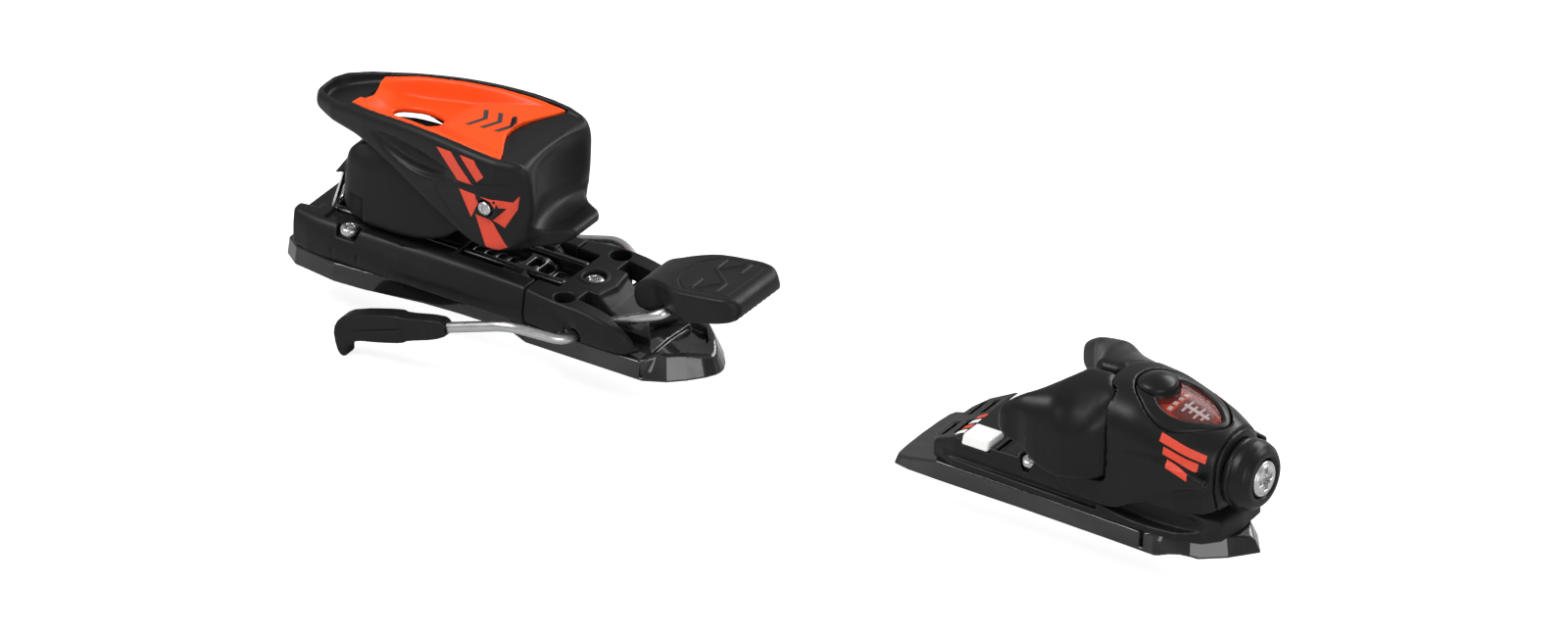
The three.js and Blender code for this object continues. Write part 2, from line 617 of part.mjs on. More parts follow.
add("toe_setting_screw", toeSettingScrew(), steel);
add("toe_spring", solid(along(new Coil(8.8, 5, 299.5, 322, TOE_AXIS_Z), 1.6, 65, 6)), darkSteel);
add("toe_piston", toePlate(11.6, 287, 292), darkSteel);
add("toe_indicator_nut", toePlate(11.4, 325, 330), orange);

export default object;
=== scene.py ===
# The looks of an alpine ski binding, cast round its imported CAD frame.
# Shapes are distance fields, worked out in millimetres in the frame's own axes and turned into
# metres at the end. A bare number in a field is a length in millimetres, a slope or a blend radius.
import json
import math
from types import SimpleNamespace

import bmesh
import bpy
import numpy as np
import openvdb
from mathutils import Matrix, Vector


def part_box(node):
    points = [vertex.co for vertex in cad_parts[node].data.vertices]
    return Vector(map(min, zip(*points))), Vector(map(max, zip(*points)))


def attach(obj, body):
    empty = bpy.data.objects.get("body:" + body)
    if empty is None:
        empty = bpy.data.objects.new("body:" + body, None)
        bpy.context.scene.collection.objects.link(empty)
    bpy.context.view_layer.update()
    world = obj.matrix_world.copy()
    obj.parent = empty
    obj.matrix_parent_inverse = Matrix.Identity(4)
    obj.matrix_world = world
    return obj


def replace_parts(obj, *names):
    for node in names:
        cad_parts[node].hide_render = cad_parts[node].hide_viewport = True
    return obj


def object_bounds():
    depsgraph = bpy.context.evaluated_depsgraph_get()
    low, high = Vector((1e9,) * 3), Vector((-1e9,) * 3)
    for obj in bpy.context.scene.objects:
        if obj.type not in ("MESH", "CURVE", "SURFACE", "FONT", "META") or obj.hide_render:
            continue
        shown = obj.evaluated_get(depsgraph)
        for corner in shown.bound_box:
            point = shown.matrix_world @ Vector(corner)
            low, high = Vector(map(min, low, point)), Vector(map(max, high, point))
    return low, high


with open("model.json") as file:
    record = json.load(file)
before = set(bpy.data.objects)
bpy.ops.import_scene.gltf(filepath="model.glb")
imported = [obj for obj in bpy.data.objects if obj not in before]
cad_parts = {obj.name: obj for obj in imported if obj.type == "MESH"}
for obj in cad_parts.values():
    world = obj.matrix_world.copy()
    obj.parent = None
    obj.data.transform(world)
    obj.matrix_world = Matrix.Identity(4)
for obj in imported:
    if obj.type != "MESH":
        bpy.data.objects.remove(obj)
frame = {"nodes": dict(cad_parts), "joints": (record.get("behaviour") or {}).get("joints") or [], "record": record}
CAD_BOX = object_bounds()

MM = 0.001
FINE = 0.3  # grid step for screws and small pieces
COARSE = 0.7  # grid step for the large mouldings
BAND = 3.0  # how far from a surface its distance is kept
PAST = 999.0  # a bound that lies beyond every piece
EASE_SAMPLES, EASE_WIDTH = 200, 23  # how finely, and over how many samples, along() smooths
SIDES = (("left", 1), ("right", -1))
JOINTS = {joint["name"]: joint for joint in frame["joints"]}


def joint_at(name):
    return [value / MM for value in JOINTS[name]["pos_m"]]


def node_box(node):
    low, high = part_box(node)
    return [value / MM for value in low], [value / MM for value in high]


def body_of(node):
    bodies = frame["record"]["behaviour"]["bodies"]
    return next(body for body, nodes in bodies.items() if node in nodes)


PIVOT_X, _, PIVOT_Z = joint_at("jaw_hinge")
BRAKE_X, _, BRAKE_Z = joint_at("brake_hinge")
JAW_SWING = JOINTS["jaw_hinge"]["range_deg"][1]
WING_X, WING_Y, _ = joint_at("wing_left_hinge")
WING_SWING = JOINTS["wing_right_hinge"]["range_deg"][1]
TOE_AXIS_Z = joint_at("toe_setting_turn")[2]
HEEL_AXIS_Z = joint_at("heel_setting_turn")[2]


# ---- distance fields ----------------------------------------------------------------------


class Grid:
    """Evenly spaced sample points over a box."""

    def __init__(self, low, high, step=COARSE):
        self.step = step
        self.low = np.array(low, float) - 3 * step
        counts = np.ceil((np.array(high, float) + 3 * step - self.low) / step).astype(int) + 1
        axes = [self.low[i] + step * np.arange(counts[i]) for i in range(3)]
        self.x = axes[0][:, None, None]
        self.y = axes[1][None, :, None]
        self.z = axes[2][None, None, :]
        self.shape = tuple(counts)


def both(a, b, blend=1.0):
    """The part inside both fields, with a rounded edge where they meet."""
    h = np.maximum(blend - np.abs(a - b), 0) / blend
    return np.maximum(a, b) + h * h * blend / 4


def join(a, b, blend=1.0):
    return -both(-a, -b, blend)


def cut(a, b, blend=1.0):
    return both(a, -b, blend)


def outline(points, a, b):
    """Distance from (a, b) to a closed outline, negative inside it."""
    shape = np.broadcast(a, b).shape
    best = np.full(shape, np.inf)
    inside = np.zeros(shape, bool)
    for (a0, b0), (a1, b1) in zip(points, points[1:] + points[:1]):
        da, db = a1 - a0, b1 - b0
        length = da * da + db * db
        if length < 1e-12:
            continue
        t = np.clip(((a - a0) * da + (b - b0) * db) / length, 0, 1)
        best = np.minimum(best, (a - a0 - t * da) ** 2 + (b - b0 - t * db) ** 2)
        if db:
            crossed = ((b0 > b) != (b1 > b)) & (a < a0 + (b - b0) * da / db)
            inside ^= crossed
    return np.where(inside, -1, 1) * np.sqrt(best)


def soft(points, rounds=3):
    """A closed outline with its corners cut into curves."""
    for _ in range(rounds):
        following = points[1:] + points[:1]
        points = [
            (p[0] * s + q[0] * (1 - s), p[1] * s + q[1] * (1 - s))
            for p, q in zip(points, following)
            for s in (0.75, 0.25)
        ]
    return points


def mirrored(half):
    """A whole plan outline from its half, given from tail to nose."""
    return [(x, -y) for x, y in half] + [(x, y) for x, y in reversed(half) if y > 0]


def along(x, stations, column=1):
    """A smooth value along x through the stations' column."""
    known = [station[0] for station in stations]
    values = [station[column] for station in stations]
    fine = np.linspace(known[0], known[-1], EASE_SAMPLES)
    eased = np.interp(fine, known, values)
    kernel = np.hanning(EASE_WIDTH) / np.hanning(EASE_WIDTH).sum()
    padding = EASE_WIDTH // 2
    padded = np.concatenate([np.full(padding, eased[0]), eased, np.full(padding, eased[-1])])
    return np.interp(x, fine, np.convolve(padded, kernel, "valid"))


def box(g, x0, x1, y0, y1, z0, z1):
    return np.maximum(
        np.maximum(np.maximum(x0 - g.x, g.x - x1), np.maximum(y0 - g.y, g.y - y1)),
        np.maximum(z0 - g.z, g.z - z1),
    )


def mirror_box(g, *sides):
    """A box and its mirror image across the ski."""
    return box(SimpleNamespace(x=g.x, y=np.abs(g.y), z=g.z), *sides)


def plan(g, points, rounds=0):
    """An outline drawn from above."""
    return outline(soft(points, rounds), g.x, g.y)


def profile(g, points, rounds=0):
    """An outline drawn from the side."""
    return outline(soft(points, rounds), g.x, g.z)


def pole(a, b, radius, h=0.0, low=-PAST, high=PAST):
    """A cylinder: a and b are square to its axis, h runs along it."""
    return np.maximum(np.hypot(a, b) - radius, np.maximum(low - h, h - high))


def on_axle(g):
    """The two distances from the heel axle, square to it."""
    return g.x - PIVOT_X, g.z - PIVOT_Z


def tube_hull(g, stations):
    """A loft along x: each station is (x, half width, bottom, top, squareness)."""
    half, bottom, top, power = (along(g.x, stations, column) for column in (1, 2, 3, 4))
    rise = (top - bottom) / 2
    level = (np.abs(g.y) / half) ** power + (np.abs(g.z - (top + bottom) / 2) / rise) ** power
    ends = np.maximum(stations[0][0] - g.x, g.x - stations[-1][0])
    return both((level ** (1 / power) - 1) * np.minimum(half, rise) * 0.9, ends, 4)


# ---- meshes -------------------------------------------------------------------------------


def in_scene(name, data):
    made = bpy.data.objects.new(name, data)
    bpy.context.scene.collection.objects.link(made)
    return made


def add_piece(name, mesh, look, body):
    mesh.materials.append(look)
    piece = in_scene(name, mesh)
    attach(piece, body)
    return piece


def smooth_piece(name, points, faces, look, node):
    """A smooth-shaded piece that stands for a CAD node, on that node's body."""
    mesh = bpy.data.meshes.new(name)
    mesh.from_pydata(points, [], faces)
    mesh.update()
    mesh.shade_smooth()
    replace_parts(add_piece(name, mesh, look, body_of(node)), node)


def cast(name, g, field, look, node):
    """The surface where the field is nought, as a piece that stands for a CAD node."""
    volume = openvdb.FloatGrid(background=BAND)
    near = np.clip(np.broadcast_to(field, g.shape), -BAND, BAND)
    volume.copyFromArray(near.astype(np.float32))
    points, _, quads = volume.convertToPolygons(0.0, 0.0)
    points = (points * g.step + g.low) * MM
    smooth_piece(name, points.tolist(), quads.tolist(), look, node)


def steps_to_surface(column):
    """How many grid steps from the start of a column its surface lies."""
    i = int(np.argmax(column < 0))
    return i - column[i] / (column[i] - column[i - 1])


def on_side(g, field, sign):
    """A function (x, z, lift) -> point on one side's outermost surface."""

    def place(x, z, lift):
        column = sample_columns(g, field, (x, z), (0, 2))
        steps = steps_to_surface(column if sign < 0 else column[::-1])
        index = steps if sign < 0 else len(column) - 1 - steps
        return x, g.low[1] + index * g.step + sign * lift, z

    return place


def on_top(g, field):
    """A function (x, y, lift) -> point on the topmost surface."""

    def place(x, y, lift):
        column = sample_columns(g, field, (x, y), (0, 1))
        index = len(column) - 1 - steps_to_surface(column[::-1])
        return x, y, g.low[2] + index * g.step + lift

    return place


def sample_columns(g, field, point, axes):
    """One column of the field, blended from the four columns round a point."""
    place = [(value - g.low[axis]) / g.step for value, axis in zip(point, axes)]
    base = [int(value) for value in place]
    share = [value - whole for value, whole in zip(place, base)]
    total = 0
    for i in (0, 1):
        for j in (0, 1):
            weight = (share[0] if i else 1 - share[0]) * (share[1] if j else 1 - share[1])
            first, second = base[0] + i, base[1] + j
            column = field[first, :, second] if axes == (0, 2) else field[first, second, :]
            total = total + weight * column
    return total


def decal(name, points, place, body, look, pitch=1.5, lift=0.12, depth=0.35):
    """A thin printed patch. place(a, b, lift) gives the point on the surface, lifted off it."""
    bm = bmesh.new()
    bm.faces.new([bm.verts.new((a, b, 0)) for a, b in points])
    for axis in (0, 1):
        low = min(p[axis] for p in points)
        high = max(p[axis] for p in points)
        normal = Vector((1, 0, 0)) if axis == 0 else Vector((0, 1, 0))
        for i in range(1, int((high - low) / pitch) + 1):
            geometry = bm.verts[:] + bm.edges[:] + bm.faces[:]
            at = normal * (low + i * pitch)
            bmesh.ops.bisect_plane(bm, geom=geometry, plane_co=at, plane_no=normal)
    bmesh.ops.triangulate(bm, faces=bm.faces[:])
    flat = [vertex.co.copy() for vertex in bm.verts]
    top = bm.verts[:]
    extruded = bmesh.ops.extrude_face_region(bm, geom=bm.faces[:])
    lower = [item for item in extruded["geom"] if isinstance(item, bmesh.types.BMVert)]
    bm.verts.index_update()
    for vertex, co in zip(top, flat):
        vertex.co = Vector(place(co.x, co.y, lift)) * MM
    for vertex in lower:
        vertex.co = Vector(place(vertex.co.x, vertex.co.y, lift - depth)) * MM
    bmesh.ops.recalc_face_normals(bm, faces=bm.faces[:])
    mesh = bpy.data.meshes.new(name)
    bm.to_mesh(mesh)
    bm.free()
    add_piece(name, mesh, look, body)


def rounded_path(points, bend, steps=8):
    """Straight runs joined by bends, as close points."""
    corners = [Vector(p) for p in points]
    path = [corners[0]]
    for before, corner, after in zip(corners, corners[1:], corners[2:]):
        start = corner + (before - corner).normalized() * min(bend, (before - corner).length * 0.45)
        end = corner + (after - corner).normalized() * min(bend, (after - corner).length * 0.45)
        for i in range(steps + 1):
            t = i / steps
            path.append(start * (1 - t) ** 2 + corner * 2 * t * (1 - t) + end * t * t)
    path.append(corners[-1])
    return path


def wire(name, points, radius, bend, look, node):
    """A round bar along a path, with domed ends."""
    sides, tip_size, tip_reach = 24, 0.35, 0.6  # the tips in shares of the radius
    path = rounded_path(points, bend)
    rings = []
    tangent = (path[1] - path[0]).normalized()
    across = tangent.orthogonal().normalized()
    stations = [(path[0], tip_size), *[(p, 1.0) for p in path], (path[-1], tip_size)]
    for i, (centre, size) in enumerate(stations):
        here = min(max(i - 1, 0), len(path) - 1)
        ahead = path[min(here + 1, len(path) - 1)] - path[max(here - 1, 0)]
        turn = tangent.rotation_difference(ahead.normalized())
        across = turn @ across
        tangent = ahead.normalized()
        other = tangent.cross(across)
        reach = -tip_reach if i == 0 else tip_reach if i == len(stations) - 1 else 0
        shift = tangent * radius * reach
        for k in range(sides):
            angle = 2 * math.pi * k / sides
            offset = across * math.cos(angle) + other * math.sin(angle)
            rings.append((centre + shift + offset * radius * size) * MM)
    last = (len(stations) - 1) * sides
    faces = [
        (i + k, i + (k + 1) % sides, i + sides + (k + 1) % sides, i + sides + k)
        for i in range(0, last, sides)
        for k in range(sides)
    ]
    faces.append(tuple(reversed(range(sides))))
    faces.append(tuple(last + k for k in range(sides)))
    smooth_piece(name, [tuple(p) for p in rings], faces, look, node)


# ---- materials ----------------------------------------------------------------------------


class Look:
    """A node material that starts from a Principled BSDF."""

    def __init__(self, name, color, roughness, metallic=0.0):
        self.material = bpy.data.materials.new(name)
        self.material.use_nodes = True
        self.tree = self.material.node_tree
        self.shader = self.tree.nodes["Principled BSDF"]
        self.set("Base Color", (*color, 1))
        self.set("Roughness", roughness)
        self.set("Metallic", metallic)
        self.color = color
        self.place = self.tree.nodes.new("ShaderNodeTexCoord").outputs["Object"]

    def node(self, kind, **values):
        made = self.tree.nodes.new(kind)
        for key, value in values.items():
            if key in made.inputs:
                made.inputs[key].default_value = value
            else:
                setattr(made, key, value)
        return made

    def link(self, output, target):
        self.tree.links.new(output, target)

    def set(self, name, value):
        self.shader.inputs[name].default_value = value

    def drive(self, name, source):
        self.link(source, self.shader.inputs[name])

    def noise(self, scale, detail=3.0, stretch=None):
        texture = self.node("ShaderNodeTexNoise", Scale=scale, Detail=detail)
        place = self.place
        if stretch:
            mapping = self.node("ShaderNodeMapping", Scale=stretch)
            self.link(place, mapping.inputs["Vector"])
            place = mapping.outputs["Vector"]
        self.link(place, texture.inputs["Vector"])
        return texture.outputs["Fac"]

    def ranged(self, source, low, high, start=0.0, end=1.0):
        """Stretches source, from start..end to low..high."""
        limits = {"From Min": start, "From Max": end, "To Min": low, "To Max": high}
        ramp = self.node("ShaderNodeMapRange", **limits)
        self.link(source, ramp.inputs["Value"])
        return ramp.outputs["Result"]

    def bump(self, source, height_mm, strength=1.0, previous=None):
        node = self.node("ShaderNodeBump", Strength=strength, Distance=height_mm * MM)
        self.link(source, node.inputs["Height"])
        if previous:
            self.link(previous, node.inputs["Normal"])
        return node.outputs["Normal"]

    def tint(self, factor, light):
        """Mixes the base colour towards a lighter one by a factor."""
        mix = self.node("ShaderNodeMix", data_type="RGBA")
        color_inputs = [item for item in mix.inputs if item.type == "RGBA"]
        color_inputs[0].default_value = (*self.color, 1)
        color_inputs[1].default_value = (*light, 1)
        self.link(factor, mix.inputs["Factor"])
        self.drive("Base Color", next(item for item in mix.outputs if item.type == "RGBA"))


SHEEN = 0.22  # how strongly the satin mouldings mirror the room


# edge is the paler colour painted on the sharp edges as a highlight, where they would catch the light.
def moulded_plastic(name, color, roughness, edge, grain_mm=0.012):
    """Satin glass-filled nylon: a fine eroded grain, soft patches of sheen, and edges painted paler as a
    highlight.
    """
    look = Look(name, color, roughness)
    look.set("Specular IOR Level", SHEEN)
    grain = look.noise(2600, 2)
    mottle = look.noise(90, 4)
    edges = look.node("ShaderNodeNewGeometry").outputs["Pointiness"]
    # Painted highlight: sharp edges are tinted towards the paler edge colour, as if catching the light.
    painted_edge_highlight = look.ranged(edges, 0.0, 0.8, 0.52, 0.62)
    look.tint(painted_edge_highlight, edge)
    rough = look.ranged(mottle, roughness - 0.05, roughness + 0.06, 0.3, 0.7)
    look.drive("Roughness", rough)
    fine = look.bump(grain, grain_mm, 0.55)
    look.drive("Normal", look.bump(mottle, 0.05, 0.25, fine))
    return look.material


def smoky_plastic():
    """Polished dark polycarbonate with faint flow lines under a clear surface."""
    look = Look("smoky_plastic", (0.012, 0.012, 0.013), 0.07)
    flow = look.noise(60, 3, (0.35, 2.5, 1.0))
    look.tint(look.ranged(flow, 0.0, 0.5, 0.45, 0.75), (0.045, 0.045, 0.048))
    look.drive("Roughness", look.ranged(look.noise(240, 4), 0.05, 0.11, 0.3, 0.7))
    look.set("Coat Weight", 0.2)
    look.set("Coat Roughness", 0.03)
    look.drive("Normal", look.bump(flow, 0.06, 0.2))
    return look.material


def metal(name, color, roughness, stretch, grain_mm=0.004):
    """Plated steel with drawing or turning marks along its run."""
    look = Look(name, color, roughness, 1.0)
    marks = look.noise(900, 3, stretch)
    look.drive("Roughness", look.ranged(marks, roughness - 0.05, roughness + 0.08, 0.3, 0.7))
    worn = look.ranged(look.noise(160, 4), 0.0, 0.3, 0.45, 0.8)
    look.tint(worn, tuple(value * 0.72 for value in color))
    look.drive("Normal", look.bump(marks, grain_mm, 0.1))
    return look.material


def window_plastic():
    """Clear red-tinted window: mostly see-through, with a polished front."""
    look = Look("window_plastic", (0.2, 0.02, 0.012), 0.05)
    look.set("Alpha", 0.24)
    look.set("Specular IOR Level", 0.3)
    look.drive("Normal", look.bump(look.noise(120, 2), 0.03, 0.15))
    look.drive("Roughness", look.ranged(look.noise(400, 3), 0.02, 0.07))
    return look.material


def printed(name, color, roughness=0.5):
    """Pad-printed ink: a slightly uneven film with a fine tooth."""
    look = Look(name, color, roughness)
    patch = look.noise(500, 4)
    look.tint(look.ranged(patch, 0.0, 0.35, 0.45, 0.75), tuple(value * 0.8 for value in color))
    look.drive("Roughness", look.ranged(patch, roughness - 0.08, roughness + 0.08))
    look.drive("Normal", look.bump(look.noise(2600, 2), 0.01, 0.5))
    return look.material


# The last colour given to each moulding is painted on its sharp edges as a highlight.
MATTE = moulded_plastic("matte_plastic", (0.0085, 0.0085, 0.0088), 0.44, (0.02, 0.02, 0.021))
SATIN = moulded_plastic(
    "satin_plastic", (0.0075, 0.0075, 0.0078), 0.36, (0.018, 0.018, 0.019), 0.008
)
ORANGE = moulded_plastic("orange_plastic", (0.88, 0.072, 0.006), 0.38, (0.95, 0.16, 0.04), 0.008)
SMOKY = smoky_plastic()
BRIGHT = metal("bright_steel", (0.6, 0.6, 0.6), 0.3, (0.15, 1.0, 1.0))
DARK = metal("dark_steel", (0.12, 0.12, 0.125), 0.34, (0.2, 1.0, 1.0))
SHEET = metal("sheet_aluminium", (0.78, 0.78, 0.79), 0.26, (1.0, 0.15, 1.0))
PAD = moulded_plastic("white_pad", (0.86, 0.86, 0.84), 0.24, (0.92, 0.92, 0.9), 0.006)
INK_RED = printed("red_ink", (0.7, 0.055, 0.022))
INK_DARK = printed("dark_ink", (0.03, 0.03, 0.03))
INK_WHITE = printed("white_ink", (0.85, 0.85, 0.84))
WINDOW_LOOK = window_plastic()


# ---- heel lifter and brake base -----------------------------------------------------------

HEEL_LIFTER = mirrored([
    (-149, 0), (-147, 19), (-139, 25), (-117, 28), (-102, 27), (-74, 22.5), (-55, 21.2), (-30, 21),
    (-18, 26), (43, 25.8), (52.6, 21), (59, 15), (64.6, 8), (67.2, 3), (67.6, 0),
])
SCREW_ROW = 22.0  # half the spacing of the heel screws
WELL_R = 4.7


def heel_lifter():
    g = Grid((-150, -28.5, 0), (68, 28.5, 12), 0.5)
    nose = np.clip((g.x - 40) / 6, 0, 1)
    top = 9 + 2 * nose - 0.02 * np.clip(g.x - 52, 0, 20) ** 2
    walls = plan(g, HEEL_LIFTER) + (0.1 + 0.34 * nose) * g.z
    plate = both(walls, both(g.z - top, -g.z, 0.5), 0.9)
    notch = mirror_box(g, 41, 42.6, 24, 30, 1.5, 12)
    plate = cut(plate, notch, 0.6)
    well = plan(g, mirrored([(40, 0), (41, 15), (50, 13.5), (57, 5), (58, 0)]))
    plate = cut(plate, both(well, 7.2 - g.z, 0.8), 0.8)
    cast("heel_lifter_plate", g, plate, SMOKY, "heel_lifter")


BASE_PLAN = mirrored([
    (-28, 0), (-28, 29.6), (6, 29.2), (24, 28), (34, 25.5), (39.5, 20), (39.5, 13.5), (30, 0),
])
BASE_SIDE = [
    (-30, 9.3), (39.6, 9.3), (39.4, 12), (36.5, 16.5), (31, 20.5), (23, 24.2), (13, 26.4), (4, 27),
    (-16, 27.4), (-30, 27.6),
]


def tucked_foot(g):
    """The plane that draws a moulding's flank in towards the lifter below it."""
    return (np.abs(g.y) - 27.4) * 0.9 - (g.z - 12.5) * 0.35


def brake_base():
    g = Grid((-45, -30.5, 9), (41, 30.5, 28), 0.45)
    y = np.abs(g.y)
    body = both(plan(g, BASE_PLAN), profile(g, BASE_SIDE, 2), 2.4)
    fade = np.clip((-3 - g.x) / 15, 0, 1)
    lean = (y - 29.2) * 0.75 + ((g.z - 12.4) * 0.143 + 0.4) * fade
    body = both(body, lean, 2.0)
    body = both(body, tucked_foot(g), 1.5)
    body = both(body, -17.9 - g.x, 0.5)
    body = cut(body, box(g, -40, -7, -16, 16, 8, PAST), 0.6)
    # Two arms reach back beside the track, joined by a low bridge.
    arm_side = [(-44, 17), (-44, 21), (-38, 25.6), (-26, 25.6), (-22, 22.6), (-6, 22.6), (-6, 17)]
    arms = both(profile(g, arm_side), np.abs(y - 13.7) - 1.9, 0.6)
    knuckle_side = [(-34, 17), (-33, 27), (-27, 27), (-25, 17)]
    knuckle = both(profile(g, knuckle_side), np.abs(y - 13.2) - 2.4, 0.5)
    body = join(body, join(arms, knuckle, 0.6), 0.6)
    ramp_plan = mirrored([(13, 0), (11, 12.5), (20, 17), (26, 21.5), (60, 23), (60, 0)])
    body = cut(body, both(plan(g, ramp_plan), 13.4 - g.z, 1.5), 1.2)
    block_side = [(-7, 26.7), (10, 26.4), (16.5, 20), (30, 13.6), (31, 9.3), (-7, 9.3)]
    block = both(profile(g, block_side), y - (11.4 - 0.02 * (g.x + 7)), 0.9)
    body = join(body, block, 0.8)
    body = cut(body, mirror_box(g, 5.5, 45, 11.5, 20.2, 8, PAST), 0.5)
    hole_x, hole_z = BRAKE_X - 0.8, BRAKE_Z + 0.6
    body = cut(body, pole(g.x - hole_x, g.z - hole_z, 4.3, y, 11.5), 0.9)
    body = cut(body, pole(g.x, y - SCREW_ROW, WELL_R), 0.8)
    centre_bore = pole(g.x - 1, g.y, 5.3, g.z, 19)
    lip = cut(pole(g.x - 1, g.y, 6.6, g.z, 20, 27.3), centre_bore, 0.4)
    body = join(cut(body, centre_bore, 0.5), lip, 0.5)
    cast("brake_base_shell", g, body, MATTE, "brake_base")


def heel_track():
    g = Grid((-128, -11, 9), (-8, 11, 26), 0.5)
    y = np.abs(g.y)
    body = box(g, -128, -8, -11, 11, 9.3, 26)
    body = cut(body, box(g, -140, -2, -7.5, 7.5, 21, PAST), 0.8)
    stop_side = [(-37, 20), (-35, 24.6), (-27, 24.6), (-22, 22.4), (-22, 20)]
    stop = both(profile(g, stop_side), y - 6.4, 0.5)
    stop = cut(stop, box(g, -31.5, -26.5, -2.2, 2.2, 21.5, PAST), 0.4)
    body = join(body, stop, 0.4)
    # The upper edges end in a half round.
    end_x = -10.5
    round_end = np.hypot(np.maximum(g.x - end_x, 0), y - 9.2) - 2.2
    body = both(body, np.where((g.z > 20.5) & (g.x > end_x), round_end, -1.0), 0.4)
    pitch = 6.0
    tooth = np.abs((g.x + 120 + pitch / 2) % pitch - pitch / 2) - 1.6
    slots = both(both(tooth, y - 4.2, 0.4), both(18.5 - g.z, g.x + 16, 0.3), 0.4)
    body = cut(body, slots, 0.5)
    cast("heel_track_rail", g, body, DARK, "heel_track")


# ---- screws -------------------------------------------------------------------------------

HEAD_HEIGHT, RECESS_DEPTH, SHANK_R = 3.4, 2.4, 2.4


def cross_recess(a, b, reach, width):
    """A cross with a small star between its arms."""
    arms = np.minimum(
        np.maximum(np.abs(a) - reach, np.abs(b) - width),
        np.maximum(np.abs(b) - reach, np.abs(a) - width),
    )
    c, d = (a + b) / math.sqrt(2), (a - b) / math.sqrt(2)
    star = np.minimum(
        np.maximum(np.abs(c) - reach * 0.8, np.abs(d) - width * 0.3),
        np.maximum(np.abs(d) - reach * 0.8, np.abs(c) - width * 0.3),
    )
    return np.minimum(arms, star)


def standing_screw(node, look):
    """A cross-head screw standing up from the ski, sized by its CAD node."""
    low, high = node_box(node)
    head_r = (high[0] - low[0]) / 2
    x, y = (low[0] + high[0]) / 2, (low[1] + high[1]) / 2
    g = Grid(low, high, FINE)
    r = np.hypot(g.x - x, g.y - y)
    dome = high[2] - 0.055 * r * r
    underside = (r - head_r) * 0.7 + (high[2] - HEAD_HEIGHT - g.z) * 0.7
    head = both(both(r - head_r, g.z - dome, 0.9), underside, 0.5)
    body = join(head, pole(g.x - x, g.y - y, SHANK_R, g.z, low[2] + 1, high[2] - 3), 0.6)
    width = 0.55 + 0.1 * np.clip(g.z - high[2] + RECESS_DEPTH, 0, 3)
    recess = cross_recess(g.x - x, g.y - y, head_r * 0.52, width)
    body = cut(body, both(recess, high[2] - RECESS_DEPTH - g.z, 0.3), 0.3)
    cast(f"{node}_head", g, body, look, node)


def screws():
    standing_screw("heel_center_screw", BRIGHT)
    for label, sign in SIDES:
        standing_screw(f"carriage_screw_{label}", BRIGHT)
        standing_screw(f"toe_screw_{label}", BRIGHT)
        standing_screw(f"heel_front_screw_{label}", DARK)
        axle_head(f"axle_head_{label}", sign)


def axle_head(node, sign):
    """A low domed head with a six-lobed star."""
    low, high = node_box(node)
    g = Grid(low, high, 0.2)
    depth = g.y * sign
    outer = max(abs(low[1]), abs(high[1]))
    x, z = on_axle(g)
    r = np.hypot(x, z)
    head = both(both(r - 3.25, depth - (outer - 0.07 * r * r), 0.7), outer - 2.2 - depth, 0.3)
    star = r - (1.45 + 0.4 * np.cos(6 * np.arctan2(z, x)))
    head = cut(head, both(star, outer - 1.2 - depth, 0.2), 0.25)
    cast(f"{node}_star", g, head, BRIGHT, node)


# ---- heel carriage ------------------------------------------------------------------------

RAIL_PLAN = mirrored([
    (-143.6, 0), (-143.4, 12), (-142.6, 20), (-140.8, 23.6), (-132, 26), (-118, 28), (-98, 28.2),
    (-77, 28.6), (-55, 30), (-36, 30.2), (-19.3, 29.6), (-8, 29.4),
])
RAIL_SIDE = [
    (-150, 8.9), (-8, 8.9), (-8, 27.6), (-30, 27.6), (-55, 27.6), (-80, 27.2), (-108, 27),
    (-128, 26.6), (-141, 26.6), (-150, 24.5),
]
POCKET_X, POCKET_Y, POCKET_R = -112.0, 22.5, 5.6  # round the carriage screws
AXLE_BORE_R = 3.1
JAW_PLAY = 0.6


def rails():
    g = Grid((-144, -31, 8.8), (-17, 31, 29), 0.6)
    y = np.abs(g.y)
    body = both(plan(g, RAIL_PLAN), profile(g, RAIL_SIDE), 2.6)
    # The flank leans in above a crease that drops towards the front, and less so there.
    crease = 23.5 - 0.10 * (g.x + 130)
    lean = (y - along(g.x, [(-143, 23.2), (-130, 26), (-100, 27.4), (-60, 29.2), (-19, 29)])) * 0.75
    fade = 1 - 0.66 * np.clip((g.x + 75) / 56, 0, 1)
    body = both(body, lean + (g.z - crease) * 0.42 * fade + 0.4, 2.4)
    body = both(body, tucked_foot(g), 1.5)
    body = both(body, g.x + 18.7, 0.5)
    crest_half = [(-126, 10), (-126, 21), (-84, 22.5), (-62, 19), (-62, 10)]
    body = cut(body, both(outline(crest_half, g.x, y), 25.0 - g.z, 0.6), 0.8)
    body = cut(body, box(g, -150, 0, -11.4, 11.4, 8, 26.4), 0.4)
    body = cut(body, box(g, -60, 0, -16.5, 16.5, 15, PAST), 0.8)
    hollow_tail = plan(g, [(-160, -19.5), (-133, -15), (-133, 15), (-160, 19.5)])
    body = cut(body, both(hollow_tail, 18.5 - g.z, 0.6), 0.7)
    rear_wall = cut(box(g, -140, -132.5, -13, 13, 9, 24), pole(g.y, g.z - 15, 3.4), 0.5)
    body = join(body, rear_wall, 0.6)
    body = cut(body, pole(g.x - POCKET_X, y - POCKET_Y, POCKET_R, g.z, 21.8), 0.6)
    slits = [mirror_box(g, x, x + 0.9, 27, 32, 10, 17) for x in (-118.5, -105.5)]
    body = cut(body, np.minimum(*slits), 0.5)
    cast("heel_carriage_rails", g, body, MATTE, "heel_carriage")


def tipped(g, degrees):
    """Grid points turned back round the heel axle."""
    cos, sin = math.cos(math.radians(degrees)), math.sin(math.radians(degrees))
    x, z = on_axle(g)
    return SimpleNamespace(x=x * cos - z * sin + PIVOT_X, y=g.y, z=x * sin + z * cos + PIVOT_Z)


